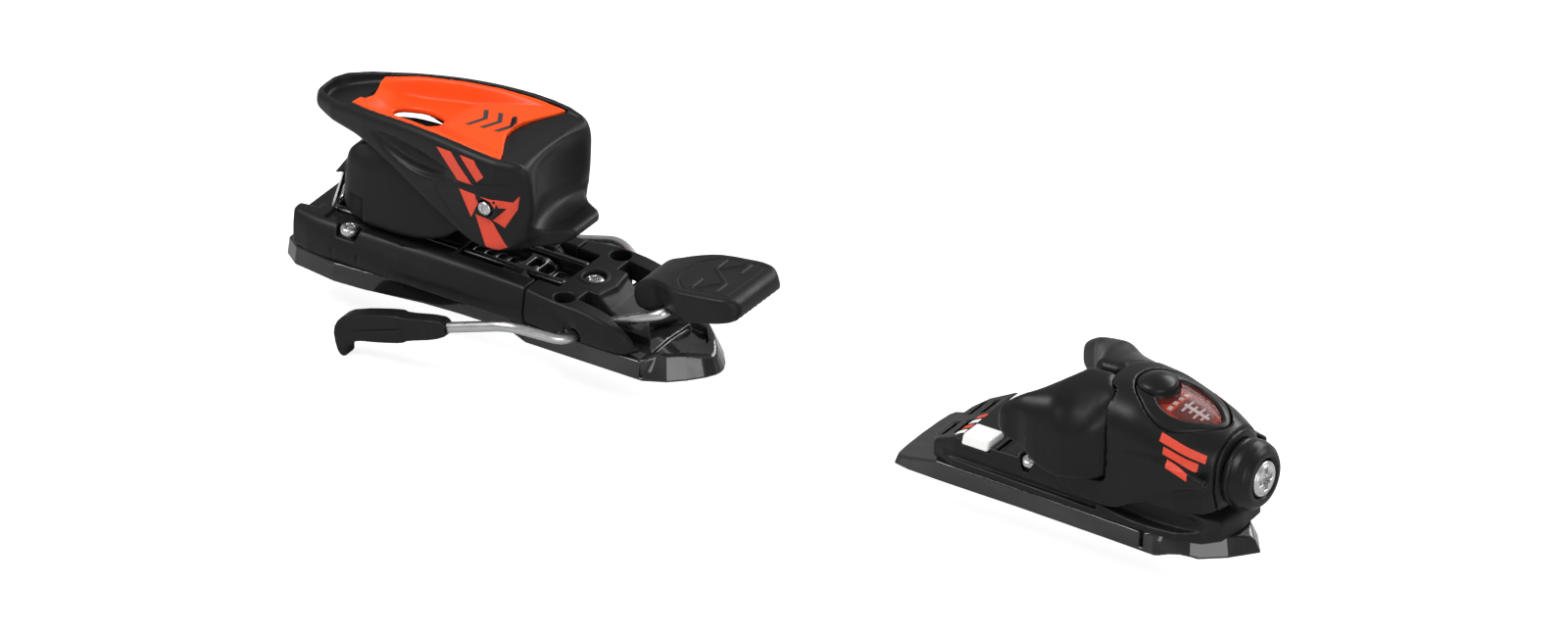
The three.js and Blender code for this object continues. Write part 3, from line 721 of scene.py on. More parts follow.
def column():
    g = Grid((-124, -21, 26), (-24, 21, 76), COARSE)
    y = np.abs(g.y)
    side = [
        (-121.5, 27.3), (-121.5, 44), (-119.5, 57), (-115, 63.5), (-107, 67), (-96, 70.5),
        (-62, 73), (-48, 74.5), (-33, 74.5), (-28, 70), (-26.5, 63), (-30, 56), (-42, 50.5),
        (-52, 45), (-72, 27.3),
    ]
    half = along(g.x, [(-122, 13.5), (-117, 18.2), (-108, 20), (-24, 20)]) - 0.03 * (g.z - 27)
    body = both(profile(g, side, 2), y - half, 4)
    # The flank leans in above a crease that drops towards the front.
    facet = y - 19.6 + 0.16 * ((g.z - 57) + 0.62 * (g.x + 112))
    body = both(body, facet, 1.0)
    shoulder = (y - 17.6) * 0.8 + (g.z - 60) * 0.5
    body = both(body, shoulder, 2.0)
    fin = both(profile(g, [(-121, 47), (-125.5, 45.5), (-120, 53.5), (-116, 56)]), y - 14.5, 0.5)
    body = join(body, fin, 1.0)
    body = cut(body, pole(g.y, g.z - HEEL_AXIS_Z, 11, g.x, -119.7, -60), 0.5)
    body = cut(body, pole(g.y, g.z - HEEL_AXIS_Z, 4.4, g.x, -PAST, -118), 0.4)
    body = cut(body, pole(*on_axle(g), AXLE_BORE_R), 0.3)
    body = cut(body, box(g, -70, -20, -9, 9, 30, PAST), 1.0)
    body = cut(body, box(g, -112, -92, -5, 5, 57, PAST), 0.8)
    body = cut(body, pole(g.x - POCKET_X, y - POCKET_Y, POCKET_R, g.z, 20, 40), 0.5)
    # Room for the jaw, part of the way round and fully closed.
    for share in (0.55, 1.0):
        body = cut(body, jaw_field(tipped(g, JAW_SWING * share)) - JAW_PLAY, 0.3)
    cast("heel_column_shell", g, body, MATTE, "heel_column")


def rear_bracket():
    g = Grid((-128, -15, 27), (-121, 15, 51), 0.3)
    y = np.abs(g.y)
    strip = [(-127.6, 27.6), (-126, 27.4), (-122.4, 44), (-121.7, 50), (-122.6, 50.2), (-123.4, 44)]
    body = both(profile(g, strip), y - (14 - 0.12 * (g.z - 27)), 0.5)
    body = cut(body, pole(g.y, g.z - HEEL_AXIS_Z, 5), 0.3)
    body = cut(body, both(np.abs(y - 8.5) - 1.4, np.abs(g.z - 34) - 3.5, 0.4), 0.3)
    cast("rear_bracket_sheet", g, body, SHEET, "rear_bracket")


# ---- heel jaw -----------------------------------------------------------------------------

JAW_HALF = [
    (-141.5, 0), (-140.8, 6), (-136.5, 12), (-126, 17), (-106, 22), (-85, 25.8), (-65, 28.8),
    (-50, 30.6), (-40, 31.1), (-31, 30.5), (-23.5, 28.2), (-17, 25), (-12.4, 20), (-10.5, 0),
]
JAW_INNER = mirrored([
    (-118, 0), (-117.5, 13), (-104, 17), (-84, 20.4), (-64, 22.8), (-50, 24.4), (-45, 0),
])
JAW_BELOW = mirrored([
    (-119, 0), (-118, 12.5), (-104, 17), (-84, 20.4), (-64, 22.8), (-45, 25.6), (-33, 26), (-33, 0),
])
JAW_SIDE = [
    (-142, 76), (-140.5, 80), (-134, 81.4), (-117, 84), (-98, 87), (-80, 89), (-65, 89.7),
    (-50, 89.6), (-31, 88.6), (-17.5, 88), (-13.2, 84.5), (-11, 78), (-10.6, 70), (-12.4, 62),
    (-17.4, 53.5), (-21.5, 48), (-27, 43.4), (-36, 41.8), (-45, 43), (-61, 50), (-78, 57.5),
    (-93, 65), (-108, 70.5), (-120, 71), (-137, 71.5),
]
EYE = [
    (-100, 78), (-93, 79.5), (-85, 80.2), (-73, 79.3), (-63, 77.6), (-51, 73.8), (-57, 70.5),
    (-65.5, 68.2), (-74, 67.6), (-82.6, 68.9), (-91.6, 72.4), (-97.4, 76.4),
]
PLATE = [
    (-65, 64.5), (-58, 67.6), (-46.7, 72.2), (-37, 75.5), (-28.6, 77.5), (-20, 77), (-5, 74),
    (-5, 36), (-36.5, 36), (-36.5, 42.8), (-43.5, 47.1), (-51.2, 52.3), (-58.3, 58.9),
]
# Up the cup: how far back its middle lies, and how much further forward its sides are.
CUP = [
    (38, -14, 1), (50, -18, 4), (53, -22, 5), (56, -23.2, 6), (60, -22.4, 7.4), (64, -22.2, 8.6),
    (70, -23.6, 9.8), (78, -23.4, 8.6), (84, -21.0, 4), (88, -18.8, 0.6), (96, -17.5, 0.2),
]
# Along the jaw: the height of its upper edge.
RING_TOP = [
    (-142, 79.4), (-134, 81.4), (-117, 84), (-98, 87), (-80, 89), (-65, 89.7), (-50, 89.6),
    (-31, 88.6), (-19, 88), (-9, 84),
]
EYE_DEPTH = [(-101, 1.5), (-88, 3.4), (-70, 4.6), (-60, 4.0), (-50, 1.0)]
DISH_HALF = [(-138.5, 0), (-136.5, 8), (-127, 13.5), (-114, 17.5), (-112, 0)]
DECK_PLAN = mirrored([(-44, 0), (-33, 25.5), (-20, 23.4), (-20, 0)])
SEAT_HALF = [
    (-118, 0), (-117, 14), (-104, 18.6), (-84, 22.1), (-64, 24.9), (-45, 26.7), (-30, 27),
    (-30.5, 25), (-38, 15), (-42, 0),
]
TONGUE_SIDE = [
    (-27, 44.5), (-14, 45), (-7, 46.6), (-2.8, 49.6), (-2.2, 52.4), (-4.5, 53.6), (-12, 53.0),
    (-20, 54), (-27, 58),
]
TONGUE_PLAN = mirrored([(-30, 22), (-20, 20.5), (-5, 11.5), (-2.2, 9)])


def ring_top(x):
    """The height of the jaw's upper edge."""
    return np.interp(x, [p[0] for p in RING_TOP], [p[1] for p in RING_TOP])


def jaw_field(g):
    """The jaw and its lever, at rest."""
    y = np.abs(g.y)
    lean = 0.05 * np.clip(82 - g.z, 0, 20)
    body = both(plan(g, mirrored(JAW_HALF)) + lean, profile(g, JAW_SIDE, 2), 4.5)
    # On the flanks: the eye-shaped recess and the raised plate's lower ground.
    edge = along(g.x, JAW_HALF[:-3])
    eye = profile(g, EYE, 2)
    eye_depth = along(g.x, EYE_DEPTH)
    body = cut(body, both(eye * 0.8, edge - eye_depth - eye * 0.5 - y, 2.5), 2.0)
    plate = profile(g, PLATE, 1)
    body = cut(body, both(plate, edge - 1.1 - 0.04 * plate - y, 0.4), 0.9)
    # The hollow under the lever, and the well through it.
    body = cut(body, both(plan(g, JAW_BELOW), g.z - 78.5, 1.5), 1.0)
    body = cut(body, both(plan(g, JAW_INNER), 40 - g.z, 1.0), 0.8)
    # On top: the dish at the tail, the deck behind the cup and the inlay's seat.
    rim = ring_top(g.x)
    dish = plan(g, mirrored(DISH_HALF), 2) + 0.25 * (rim - g.z)
    body = cut(body, both(dish, 77.6 + 0.22 * (g.x + 125) - g.z, 2), 1.2)
    sag = 1.4 * np.clip((-20 - g.x) / 10, 0, 1) * (1 - (y / 26) ** 2)
    body = cut(body, both(plan(g, DECK_PLAN), rim - 1.0 - sag - g.z, 1.0), 1.6)
    body = cut(body, both(plan(g, mirrored(SEAT_HALF), 1), rim - 5.0 - g.z, 0.4), 0.4)
    cup = (along(g.z, CUP) + along(g.z, CUP, 2) * (y / 23) ** 2 - g.x) * 0.9
    body = cut(body, cup, 4.2)
    tongue = both(profile(g, TONGUE_SIDE), plan(g, TONGUE_PLAN), 1.4)
    body = join(body, tongue, 7)
    body = cut(body, pole(g.x + 5, g.z - 44.2, 3.0, y, -1, 7.5), 1.0)
    # Round the axle: a boss outside, room for the column's ears inside, and the bores.
    boss = both(pole(*on_axle(g), 6.2, y, 25, 30.2), 24 - y, 0.5)
    body = join(body, boss, 1.5)
    ear_room = both(np.hypot(*on_axle(g)) - 13.5, y - 24.5, 0.6)
    body = cut(body, both(ear_room, g.x + 27, 0.6), 0.6)
    body = cut(body, pole(*on_axle(g), AXLE_BORE_R), 0.3)
    return cut(body, pole(*on_axle(g), 3.75, y, 29.2), 0.4)


INLAY_PLAN = mirrored([
    (-114.5, 0), (-117.2, 12.9), (-104, 17.9), (-84, 21.4), (-64, 24.2), (-45, 26), (-31.2, 25.6),
    (-33.5, 20), (-37.5, 13), (-41, 6), (-42, 0),
])
# Along the hollow: where its wall starts to fall, and how deep its floor lies.
HOLLOW = [
    (-117, 7, 1.5), (-112, 11.5, 4), (-106, 14.5, 8), (-98, 16.8, 10), (-85, 19, 10),
    (-74, 20.6, 9.5), (-64, 22, 7.5), (-54, 23, 5.5), (-44, 24, 3.6), (-36, 24.4, 2.0),
    (-30, 24.6, 0.6),
]
# Along the raised thumb rest: its half width and its height.
THUMB_REST = [
    (-82, 1, 72), (-78, 4, 78), (-74.5, 8, 82.6), (-70, 11.5, 84.8), (-64, 14.5, 86.4),
    (-54, 18, 87.6), (-44, 20.6, 88.3), (-30, 23.4, 88.4),
]


def inlay_field(g):
    y = np.abs(g.y)
    rim = ring_top(g.x) - 0.5
    inward = along(g.x, HOLLOW) - y
    wall = np.clip(inward / 4.5 + 0.12, 0, 1)
    wall = wall * wall * (3 - 2 * wall)
    floor = rim - along(g.x, HOLLOW, 2) * (0.74 * wall + 0.26 * np.clip(inward / 14, 0, 1))
    past = np.clip(y - along(g.x, THUMB_REST) + 1.2, 0, 30)
    rest = along(g.x, THUMB_REST, 2) - 1.25 * past * past / (past + 2.4)
    surface = both(floor, np.minimum(rest, rim), 1.6)
    shell = both(np.abs(g.z - (surface - 1.5)) * 0.8 - 1.25, g.z - rim - 0.1, 0.6)
    shell = both(shell, plan(g, INLAY_PLAN), 0.6)
    hole = np.hypot((g.x + 90.5) / 13, g.y / 6.6) - 1
    return cut(shell, hole * 6, 1.0)


def heel_jaw():
    g = Grid((-142, -32, 40), (-1, 32, 92), 0.65)
    field = jaw_field(g)
    cast("heel_jaw_lever", g, field, MATTE, "heel_jaw")
    top = Grid((-120, -28, 70), (-29, 28, 92), 0.5)
    orange = inlay_field(top)
    cast("jaw_inlay_cover", top, orange, ORANGE, "jaw_inlay")
    side_flashes(g, field)
    top_flashes(top, orange)


SIDE_FLASHES = [
    [(-62, 86), (-54, 86.4), (-42.5, 73.5), (-50.5, 73.5)],
    [(-49, 86.6), (-41.5, 86.4), (-36.5, 79.5), (-40, 76)],
    [(-50, 69), (-41.5, 69), (-39.5, 65.5), (-43.5, 57)],
    [(-32, 59), (-27.5, 64), (-20.5, 73), (-21.5, 66), (-27, 56)],
    [(-38.5, 69), (-22, 69.4), (-25, 65.8), (-31.2, 65.5), (-33.5, 68)],
    [(-41.2, 59.5), (-33, 58.8), (-26, 46.2), (-30.5, 43.8), (-36, 44.4)],
]


def side_flashes(g, field):
    for label, sign in SIDES:
        place = on_side(g, field, sign)
        for i, points in enumerate(SIDE_FLASHES):
            decal(f"side_flash_{label}_{i + 1}", points, place, "heel_jaw", INK_RED)


def top_flashes(g, field):
    place = on_top(g, field)
    for i in range(3):
        x = -62 + 7.5 * i
        bar = [(x, -7), (x + 2.4, -7), (x + 6.4, 1), (x + 2.4, 8), (x, 8), (x + 4, 1)]
        decal(f"top_flash_{i + 1}", bar, place, "heel_jaw", INK_DARK, 1.2)


# ---- brake --------------------------------------------------------------------------------

BRAKE_SLOPE = math.radians(JOINTS["brake_hinge"]["range_deg"][1])
WIRE_R, WIRE_BEND = 2.4, 6.5
LEG_Y = 16.6


def brake_point(u, y, w):
    """A point on the tilted brake: u along it, w square to it."""
    cos, sin = math.cos(BRAKE_SLOPE), math.sin(BRAKE_SLOPE)
    return BRAKE_X + u * cos - w * sin, y, BRAKE_Z + u * sin + w * cos


def brake_axes(g):
    cos, sin = math.cos(BRAKE_SLOPE), math.sin(BRAKE_SLOPE)
    x, z = g.x - BRAKE_X, g.z - BRAKE_Z
    return x * cos + z * sin, -x * sin + z * cos


WIRE_PATH = [
    (43, 9, 5.5), (43, LEG_Y, 5.5), (0, LEG_Y, 0.2), (0, 33, 0.2), (-20, 44, 12.6),
    (-60, 46.5, 12.6), (-95, 46.5, 12.6),
]


def brake_wires():
    for label, sign in SIDES:
        points = [brake_point(u, y * sign, w) for u, y, w in WIRE_PATH]
        node = f"brake_wire_{label}"
        wire(f"{node}_bar", points, WIRE_R, WIRE_BEND, BRIGHT, node)


# Along the pedal: the height of its top, its half width, and the outline of its sunk line.
DECK = [(39, 20.4), (48, 20), (56, 18.2), (68, 16.2), (80, 14)]
PEDAL_HALF = [
    (20, 11.5), (30, 12.3), (39, 12.6), (47, 16), (54, 19.6), (60, 20.4), (75, 20.4), (81, 19.4),
    (84.5, 17.4), (87, 14),
]
PEDAL_PANEL = mirrored([(49, 0), (51, 9), (57, 15.5), (80.5, 15.5)])
RIB_R, TOOTH_PITCH = 0.8, 3.6


def brake_pedal():
    g = Grid((25, -21, 24), (90, 21, 53), 0.5)
    u, w = brake_axes(g)
    side = [(27, 6), (25.5, 10), (26.5, 15.5), (31, 19.4), *DECK]
    side += [(84.5, 12), (86, 8.5), (85, 4), (82, 2), (60, 2.6), (40, 3)]
    body = both(outline(soft(side, 2), u, w), np.abs(g.y) - along(u, PEDAL_HALF), 2.2)
    deck = along(u, [(20, 19), *DECK, (90, 12)])
    panel = outline(PEDAL_PANEL, u, g.y)
    body = cut(body, both(np.abs(panel) - 0.35, deck - 0.55 - w, 0.3), 0.4)
    ribs = [
        np.maximum(np.abs((u - 67) - slope * (g.y - centre)) - RIB_R, np.abs(g.y - centre) - 4.6)
        for centre, slope in ((-9.5, 1.1), (0.2, -1.1), (9.8, 1.1))
    ]
    bars = [
        np.maximum(np.abs(u - at) - RIB_R, np.abs(g.y - centre) - 4.4)
        for centre in (-9.5, 9.8)
        for at in (60.6, 73.4)
    ]
    pattern = np.minimum.reduce([np.broadcast_to(item, g.shape) for item in ribs + bars])
    body = join(body, both(pattern, np.abs(w - deck) - 0.75, 0.4), 0.6)
    teeth = np.abs((g.y + TOOTH_PITCH / 2) % TOOTH_PITCH - TOOTH_PITCH / 2) - 0.8
    body = cut(body, both(both(teeth, 81.5 - u, 0.4), w - 3.4, 0.4), 0.4)
    body = cut(body, mirror_box(g, 30, 60, 13.4, 21, -PAST, 34), 0.8)
    bar_u, _, bar_w = WIRE_PATH[0]
    socket = np.hypot(u - bar_u, w - bar_w) - (WIRE_R + 0.6)
    body = cut(body, both(socket, 7.5 - np.abs(g.y), 0.4), 0.4)
    cast("brake_pedal_plate", g, body, MATTE, "brake_pedal")


def brake_feet():
    side = [
        (-50.5, 9.8), (-50.5, 15.4), (-54, 17.4), (-73, 18.6), (-75.5, 20), (-100, 20.4),
        (-107, 18.6), (-112, 13.5), (-113, 5), (-111.8, 0.5), (-108.4, 0.2), (-107, 5), (-102, 7.8),
        (-86, 6.8), (-75.5, 6.6), (-73, 7.6), (-58, 8),
    ]
    for label, sign in SIDES:
        g = Grid((-105, 41 if sign > 0 else -52, -21), (-42, 52 if sign > 0 else -41, 15), 0.5)
        u, w = brake_axes(g)
        y = g.y * sign - 46.3
        half = along(u, [(-113, 3.6), (-90, 4.4), (-76, 4.4), (-74, 3.9), (-60, 3.9), (-50, 3.4)])
        body = both(outline(soft(side, 1), u, w), np.abs(y) - half, 1.2)
        ridge = both(np.abs(w - 13.2 - 0.03 * (u + 80)) - 0.5, 3.6 - y, 0.3)
        body = cut(body, both(ridge, np.abs(u + 82) - 20, 0.3), 0.4)
        body = cut(body, both(np.abs(u + 58.5) - 0.5, 3.7 - y, 0.3), 0.4)
        body = cut(body, both(np.hypot(y - 0.2, w - 12.6) - (WIRE_R + 0.3), -97 - u, 0.3), 0.3)
        cast(f"brake_foot_{label}_shoe", g, body, MATTE, f"brake_foot_{label}")


# ---- toe base -----------------------------------------------------------------------------

TOE_LIFTER = mirrored([
    (170.5, 0), (170.8, 12), (171.6, 20), (173.4, 24), (181, 25.4), (197, 25.8), (240, 26),
    (290, 27.2), (312, 28), (327, 22.5), (340, 12), (349.5, 0),
])
TOE_BASE = mirrored([
    (187, 0), (188.5, 14), (193, 22), (205, 25.4), (240, 26), (300, 26.6), (322, 25.8), (333, 22),
    (339, 15), (340, 0),
])


def toe_lifter():
    g = Grid((169, -28.5, 0), (351, 28.5, 13), 0.5)
    nose = np.clip((g.x - 306) / 8, 0, 1)
    tail = np.clip((196 - g.x) / 26, 0, 1)
    top = 9 + 2.2 * nose - 5.5 * tail - 0.006 * np.clip(g.x - 318, 0, 40) ** 2
    walls = plan(g, TOE_LIFTER) + (0.12 + 0.3 * nose + 0.3 * tail) * g.z
    plate = both(walls, both(g.z - top, -g.z, 0.5), 0.9)
    arch = both(np.hypot(g.x - 322, (g.z + 24.5)) - 26, 20 - np.abs(g.y), 1.5)
    plate = cut(plate, arch, 0.8)
    plate = cut(plate, mirror_box(g, 303.5, 305.5, 24, 30, 2, 13), 0.7)
    cast("toe_lifter_plate", g, plate, SMOKY, "toe_lifter")


def toe_base():
    g = Grid((186, -28, 9), (341, 28, 28), 0.5)
    y = np.abs(g.y)
    side = [
        (186, 9.3), (341, 9.3), (341, 17.5), (337, 19.8), (331, 22.6), (322, 25.9), (280, 25.4),
        (240, 24.5), (206, 23.8), (197, 19.5), (187.5, 15),
    ]
    body = both(plan(g, TOE_BASE) + 0.22 * np.clip(g.z - 16, 0, 20), profile(g, side), 1.4)
    # A long recess under the side lip, and the scoop below the housing.
    lip = np.maximum(np.abs(g.z - 14.2 + 0.012 * (g.x - 250)) - 1.5, 23.6 - y)
    body = cut(body, both(lip, np.abs(g.x - 240) - 40, 1.0), 1.4)
    scoop = np.hypot((g.x - 307) / 27, (g.z - 17.8) / 5) - 1
    body = cut(body, both(scoop * 4, 20.5 - y, 1.5), 1.5)
    body = cut(body, mirror_box(g, 208.4, 223.6, 11.4, 40, 21.5, PAST), 0.4)
    body = cut(body, box(g, 209.7, 216.3, -8.3, 8.3, 14, 22.8), 0.3)
    body = cut(body, box(g, 213, 219, -20, 20, 20.9, 22.9), 0.2)
    body = cut(body, mirror_box(g, 226.5, 230, 6, 23.2, 21.8, PAST), 0.6)
    for x, floor_z in ((192.0, 14.0), (199.0, 16.45)):
        body = cut(body, mirror_box(g, x, x + 3.0, 4, 16.5, floor_z, PAST), 0.8)
    body = cut(body, pole(g.x - 243, y - 20, 5.2, g.z, 18.6), 0.5)
    cast("toe_base_shell", g, body, MATTE, "toe_base")
    base_marks(g, body)


def base_marks(g, field):
    place = on_top(g, field)
    for i in range(4):
        y = -20 + 5.4 * i
        bar = [(202.6, y), (202.6, y + 3.4), (206.6, y + 4.4), (206.6, y + 1)]
        look, finish = (INK_RED, "scale_red") if i % 2 else (INK_WHITE, "white_pad")
        decal(f"base_mark_{i + 1}", bar, place, "root", look)


PAD_FORWARD = 3.0  # how far ahead of its CAD node the pad is drawn


def afd_pad():
    low, high = node_box("afd_pad")
    g = Grid(low, (high[0] + PAD_FORWARD, high[1], high[2]), 0.4)
    centre = (low[0] + high[0]) / 2 + PAD_FORWARD
    y = np.abs(g.y)
    pad = both(np.abs(g.x - centre) - 6.8, both(21.9 - g.z, g.z - high[2], 0.2), 1.0)
    pad = both(pad, np.abs(y - 17.8) + 0.4 * (g.z - high[2]) - 5.6, 1.0)
    pad = join(pad, box(g, centre - 2.5, centre + 2.5, -13, 13, 21.6, 22.6), 0.3)
    pad = join(pad, box(g, 210.5, 215.5, -3, 3, low[2], 22.3), 0.3)
    cast("afd_pad_slider", g, pad, PAD, "afd_pad")


# ---- toe housing and wings ----------------------------------------------------------------

HOUSING = [
    (246, 22, 24, 60, 2.6), (262, 25.5, 25, 66.5, 2.6), (272, 26, 26.3, 69, 2.6),
    (284, 26.2, 26.3, 70.4, 2.5), (297, 26, 26.3, 69.2, 2.5), (310, 25, 26.3, 65.6, 2.4),
    (324, 22.5, 26.3, 61.6, 2.3), (338.2, 17.2, 24, 57, 2.1),
]
SEAM_X = 277.0  # the wings' hood ends here, and the housing begins
HOUSING_FLOOR = 26.3
BOSS_R = 17.0
WING_PLAY, WING_STEPS = 0.55, 5  # the room round the swinging wings, and how finely they are swung
WING_PLAN = [
    (286.5, -14), (287, -21), (284, -27), (279.5, -31.5), (272, -34.6), (262, -36.9), (252, -37.4),
    (246.5, -35.6), (243, -35.6), (238.5, -36.8), (234.6, -35), (234, -32), (237.5, -29.8),
    (246, -25.5), (253, -18), (258.6, -9), (260.8, -0.4), (276.6, -0.4), (279, -8),
]
WING_SIDE = [
    (228, 46), (230.5, 52), (236, 57), (243, 61), (254, 65), (262, 70), (270, 74), (277, 78),
    (283, 72), (289.5, 50), (289.5, 29.4), (276, 28.6), (263, 28.4), (255.5, 31.5), (249, 36),
    (240, 39.5),
]
# Along the wing: how high its upper edge stands, and how far out its flank.
WING_TOP = [
    (226, 52), (232, 57), (238, 62), (245, 65.6), (254, 67.4), (262, 68.6), (270, 69.4),
    (277, 69.8), (290, 70),
]
WING_OUTER = [(228, 37), (238.5, 37), (252, 37.6), (262, 37), (272, 34.8), (279.5, 31.8), (287, 24)]


def wing_field(g, grow=0.0):
    """The right wing: hood, round pivot boss and swept tip."""
    from_above = plan(g, WING_PLAN, 1)
    body = both(from_above, profile(g, WING_SIDE, 1), 3.0)
    lean = 0.12 * np.clip(g.z - 40, 0, 30) + 0.008 * np.clip(g.z - 48, 0, 30) ** 2
    flank = both(from_above, -g.y - along(g.x, WING_OUTER) + lean, 2)
    top = (g.z - along(g.x, WING_TOP) + 0.0045 * g.y * g.y) * 0.9
    # Towards the seam the top turns into the housing's.
    share = np.clip((g.x - 258) / 18, 0, 1)
    top = top + (tube_hull(g, HOUSING) + 0.25 - top) * share ** 2 * (3 - 2 * share)
    boss_r = np.hypot(g.x - WING_X + 1, g.y + WING_Y - 1.5)
    boss = both(boss_r - BOSS_R, g.z - 62 + 0.03 * boss_r * boss_r, 9)
    skin = join(both(flank, top, 6), boss, 6)
    return both(body, skin, 1.6) - grow


def swung(g, degrees):
    """Grid points turned back round the right wing's pin."""
    cos, sin = math.cos(math.radians(degrees)), math.sin(math.radians(degrees))
    x, y = g.x - WING_X, g.y + WING_Y
    return SimpleNamespace(x=x * cos + y * sin + WING_X, y=-x * sin + y * cos - WING_Y, z=g.z)


def wings():
    for label, sign in SIDES:
        low_y, high_y = (0, 39) if sign > 0 else (-39, 0)
        g = Grid((229, low_y, 28), (290, high_y, 72), 0.55)
        field = wing_field(SimpleNamespace(x=g.x, y=-sign * g.y, z=g.z))
        cast(f"toe_wing_{label}_jaw", g, field, SATIN, f"toe_wing_{label}")


TIER_PLAN = mirrored([
    (266, 0), (268, 25), (300, 26.4), (322, 25.6), (333, 21.5), (337, 15), (337, 0),
])


def toe_housing():
    g = Grid((262, -30, 14), (339, 30, 73), COARSE)
    y = np.abs(g.y)
    hull = tube_hull(g, HOUSING)
    body = both(hull, HOUSING_FLOOR - g.z, 0.8)
    lobe_side = [
        (257, 30), (258, 23), (263, 19.3), (272, 17.3), (283, 16.3), (290, 16.6), (297, 20),
        (304.5, 26.2), (313, 32), (324, 36.5), (336, 38.5), (336, 44), (300, 46), (284, 40),
        (270, 31),
    ]
    lobe = both(profile(g, lobe_side, 1), y - 27.4 + 0.10 * np.clip(g.z - 20, 0, 40), 1.2)
    lobe = both(lobe, 22.6 - y, 0.5)
    tier_top = (g.z - 36) * 0.7 + np.clip(y - 21, 0, 9) * 0.6
    tier = both(both(plan(g, TIER_PLAN), tier_top, 4), 24.0 - g.z, 0.8)
    body = join(body, tier, 5)
    body = join(body, lobe, 4)
    body = cut(body, both(g.x - SEAM_X, 28.2 - g.z, 0.3), 0.3)
    # Both sides are cleared as the right one.
    right = SimpleNamespace(x=g.x, y=-y, z=g.z)
    for i in range(WING_STEPS + 1):
        swept = wing_field(swung(right, WING_SWING * i / WING_STEPS), WING_PLAY)
        body = cut(body, swept, 0.3)
    body = cut(body, both(plan(g, mirrored(INSERT), 2) - 0.45, 54.7 - g.z, 0.4), 0.6)
    body = cut(body, pole(g.y, g.z - TOE_AXIS_Z, 12, g.x, 286), 0.4)
    body = cut(body, both(np.abs(g.x - 336.4) - 0.35, -hull - 0.9, 0.2), 0.4)
    cast("toe_housing_shell", g, body, SATIN, "toe_housing")
    side_bars(g, body)


def side_bars(g, field):
    slope, width = 0.34, 3.2
    for label, sign in SIDES:
        place = on_side(g, field, sign)
        for i, length in enumerate((21, 16, 11)):
            x, z = 311.5 + 2.4 * i, 58.5 - 5.2 * i
            far_x, far_z = x + length, z - length * slope
            bar = [(x, z), (far_x, far_z), (far_x, z - width - length * slope), (x, z - width)]
            decal(f"side_bar_{label}_{i + 1}", bar, place, "root", INK_RED, 1.2, 0.25)


INSERT = [
    (286.3, 0), (287.4, 5), (290.6, 10.3), (295.4, 14), (301, 17.6), (308, 19.4), (315, 18.2),
    (322, 14), (329, 7.4), (333.2, 0),
]
WINDOW = [
    (300, 0), (300, 8), (302, 10.6), (306, 12.4), (311, 12.8), (318, 10.8), (324.5, 6.2),
    (328.6, 1.8), (329, 0),
]
DOME_X, DOME_R = 295.5, 9.0


def window():
    g = Grid((286, -20, 54), (334, 20, 73), 0.4)
    surface = tube_hull(g, HOUSING)
    dome_r = np.hypot(g.x - DOME_X, g.y)
    dome = both(dome_r - DOME_R, g.z - 72.4 + 0.035 * dome_r * dome_r, 1.6)
    opening = cut(plan(g, mirrored(WINDOW), 2), dome_r - DOME_R - 0.3, 0.6)
    ring = both(both(plan(g, mirrored(INSERT), 2), surface + 0.1, 1.2), 55 - g.z, 0.4)
    ring = cut(ring, opening + 0.22 * np.clip(-surface, 0, 8), 1.4)
    ring = cut(ring, np.abs(dome_r - DOME_R - 0.5) - 0.3 + 4 * np.clip(-surface - 1.2, 0, 5), 0.4)
    ring = join(ring, both(dome, 60 - g.z, 0.5), 0.2)
    cast("window_bezel_ring", g, ring, SATIN, "window_bezel")
    inner = opening + 0.35
    lens = both(both(inner, surface + 1.0, 0.6), -(surface + 2.2), 0.3)
    cast("window_lens_cover", g, lens, WINDOW_LOOK, "window_lens")
    plate = both(both(inner, surface + 3.6, 0.4), -(surface + 4.8), 0.3)
    cast("window_scale_plate", g, plate, INK_RED, "window_scale")
    scale_marks(g, np.broadcast_to(surface + 3.6, g.shape))


def scale_marks(g, field):
    place = on_top(g, field)
    patch = [
        (308.2, -8.6), (316, -8.2), (322.4, -4.2), (324.4, 0), (322.4, 4.2), (316, 8.2),
        (308.2, 8.6),
    ]
    decal("scale_patch", patch, place, "root", INK_DARK, lift=0.2)

    def white(name, points, lift):
        decal(name, points, place, "root", INK_WHITE, lift=lift)

    for i, y in enumerate((-6.6, -2.2, 2.2, 6.6)):
        block = [(305.4, y - 1.5), (307.2, y - 1.1), (307.2, y + 1.5), (305.4, y + 1.1)]
        white(f"scale_mark_{i + 1}", block, 0.2)
    for i, reach in enumerate((4.6, 3.2, 4.6, 3.2)):
        x = 310.6 + 3.0 * i
        tick = [(x, -reach), (x + 0.9, -reach), (x + 0.9, reach), (x, reach)]
        white(f"scale_tick_{i + 1}", tick, 0.4)
    white("scale_pointer", [(309.6, -0.9), (322.2, -0.9), (322.2, 0.9), (309.6, 0.9)], 0.5)


def nose_cap():
    low, high = node_box("nose_cap")
    g = Grid(low, high, 0.45)
    r = np.hypot(g.y, g.z - TOE_AXIS_Z)
    section = [
        (338.6, 10.5), (338.6, 15.2), (340.8, 16), (345.5, 16), (349, 14.8), (351.3, 12.4),
        (351.6, 10.2), (350.2, 8.9), (342, 8.9), (342, 10.5),
    ]
    body = outline(section, g.x, r)
    ring = np.abs(g.x - 341.8) - 0.4
    body = cut(body, both(ring, 15.4 - r, 0.3), 0.5)
    cast("nose_cap_ring", g, body, SATIN, "nose_cap")


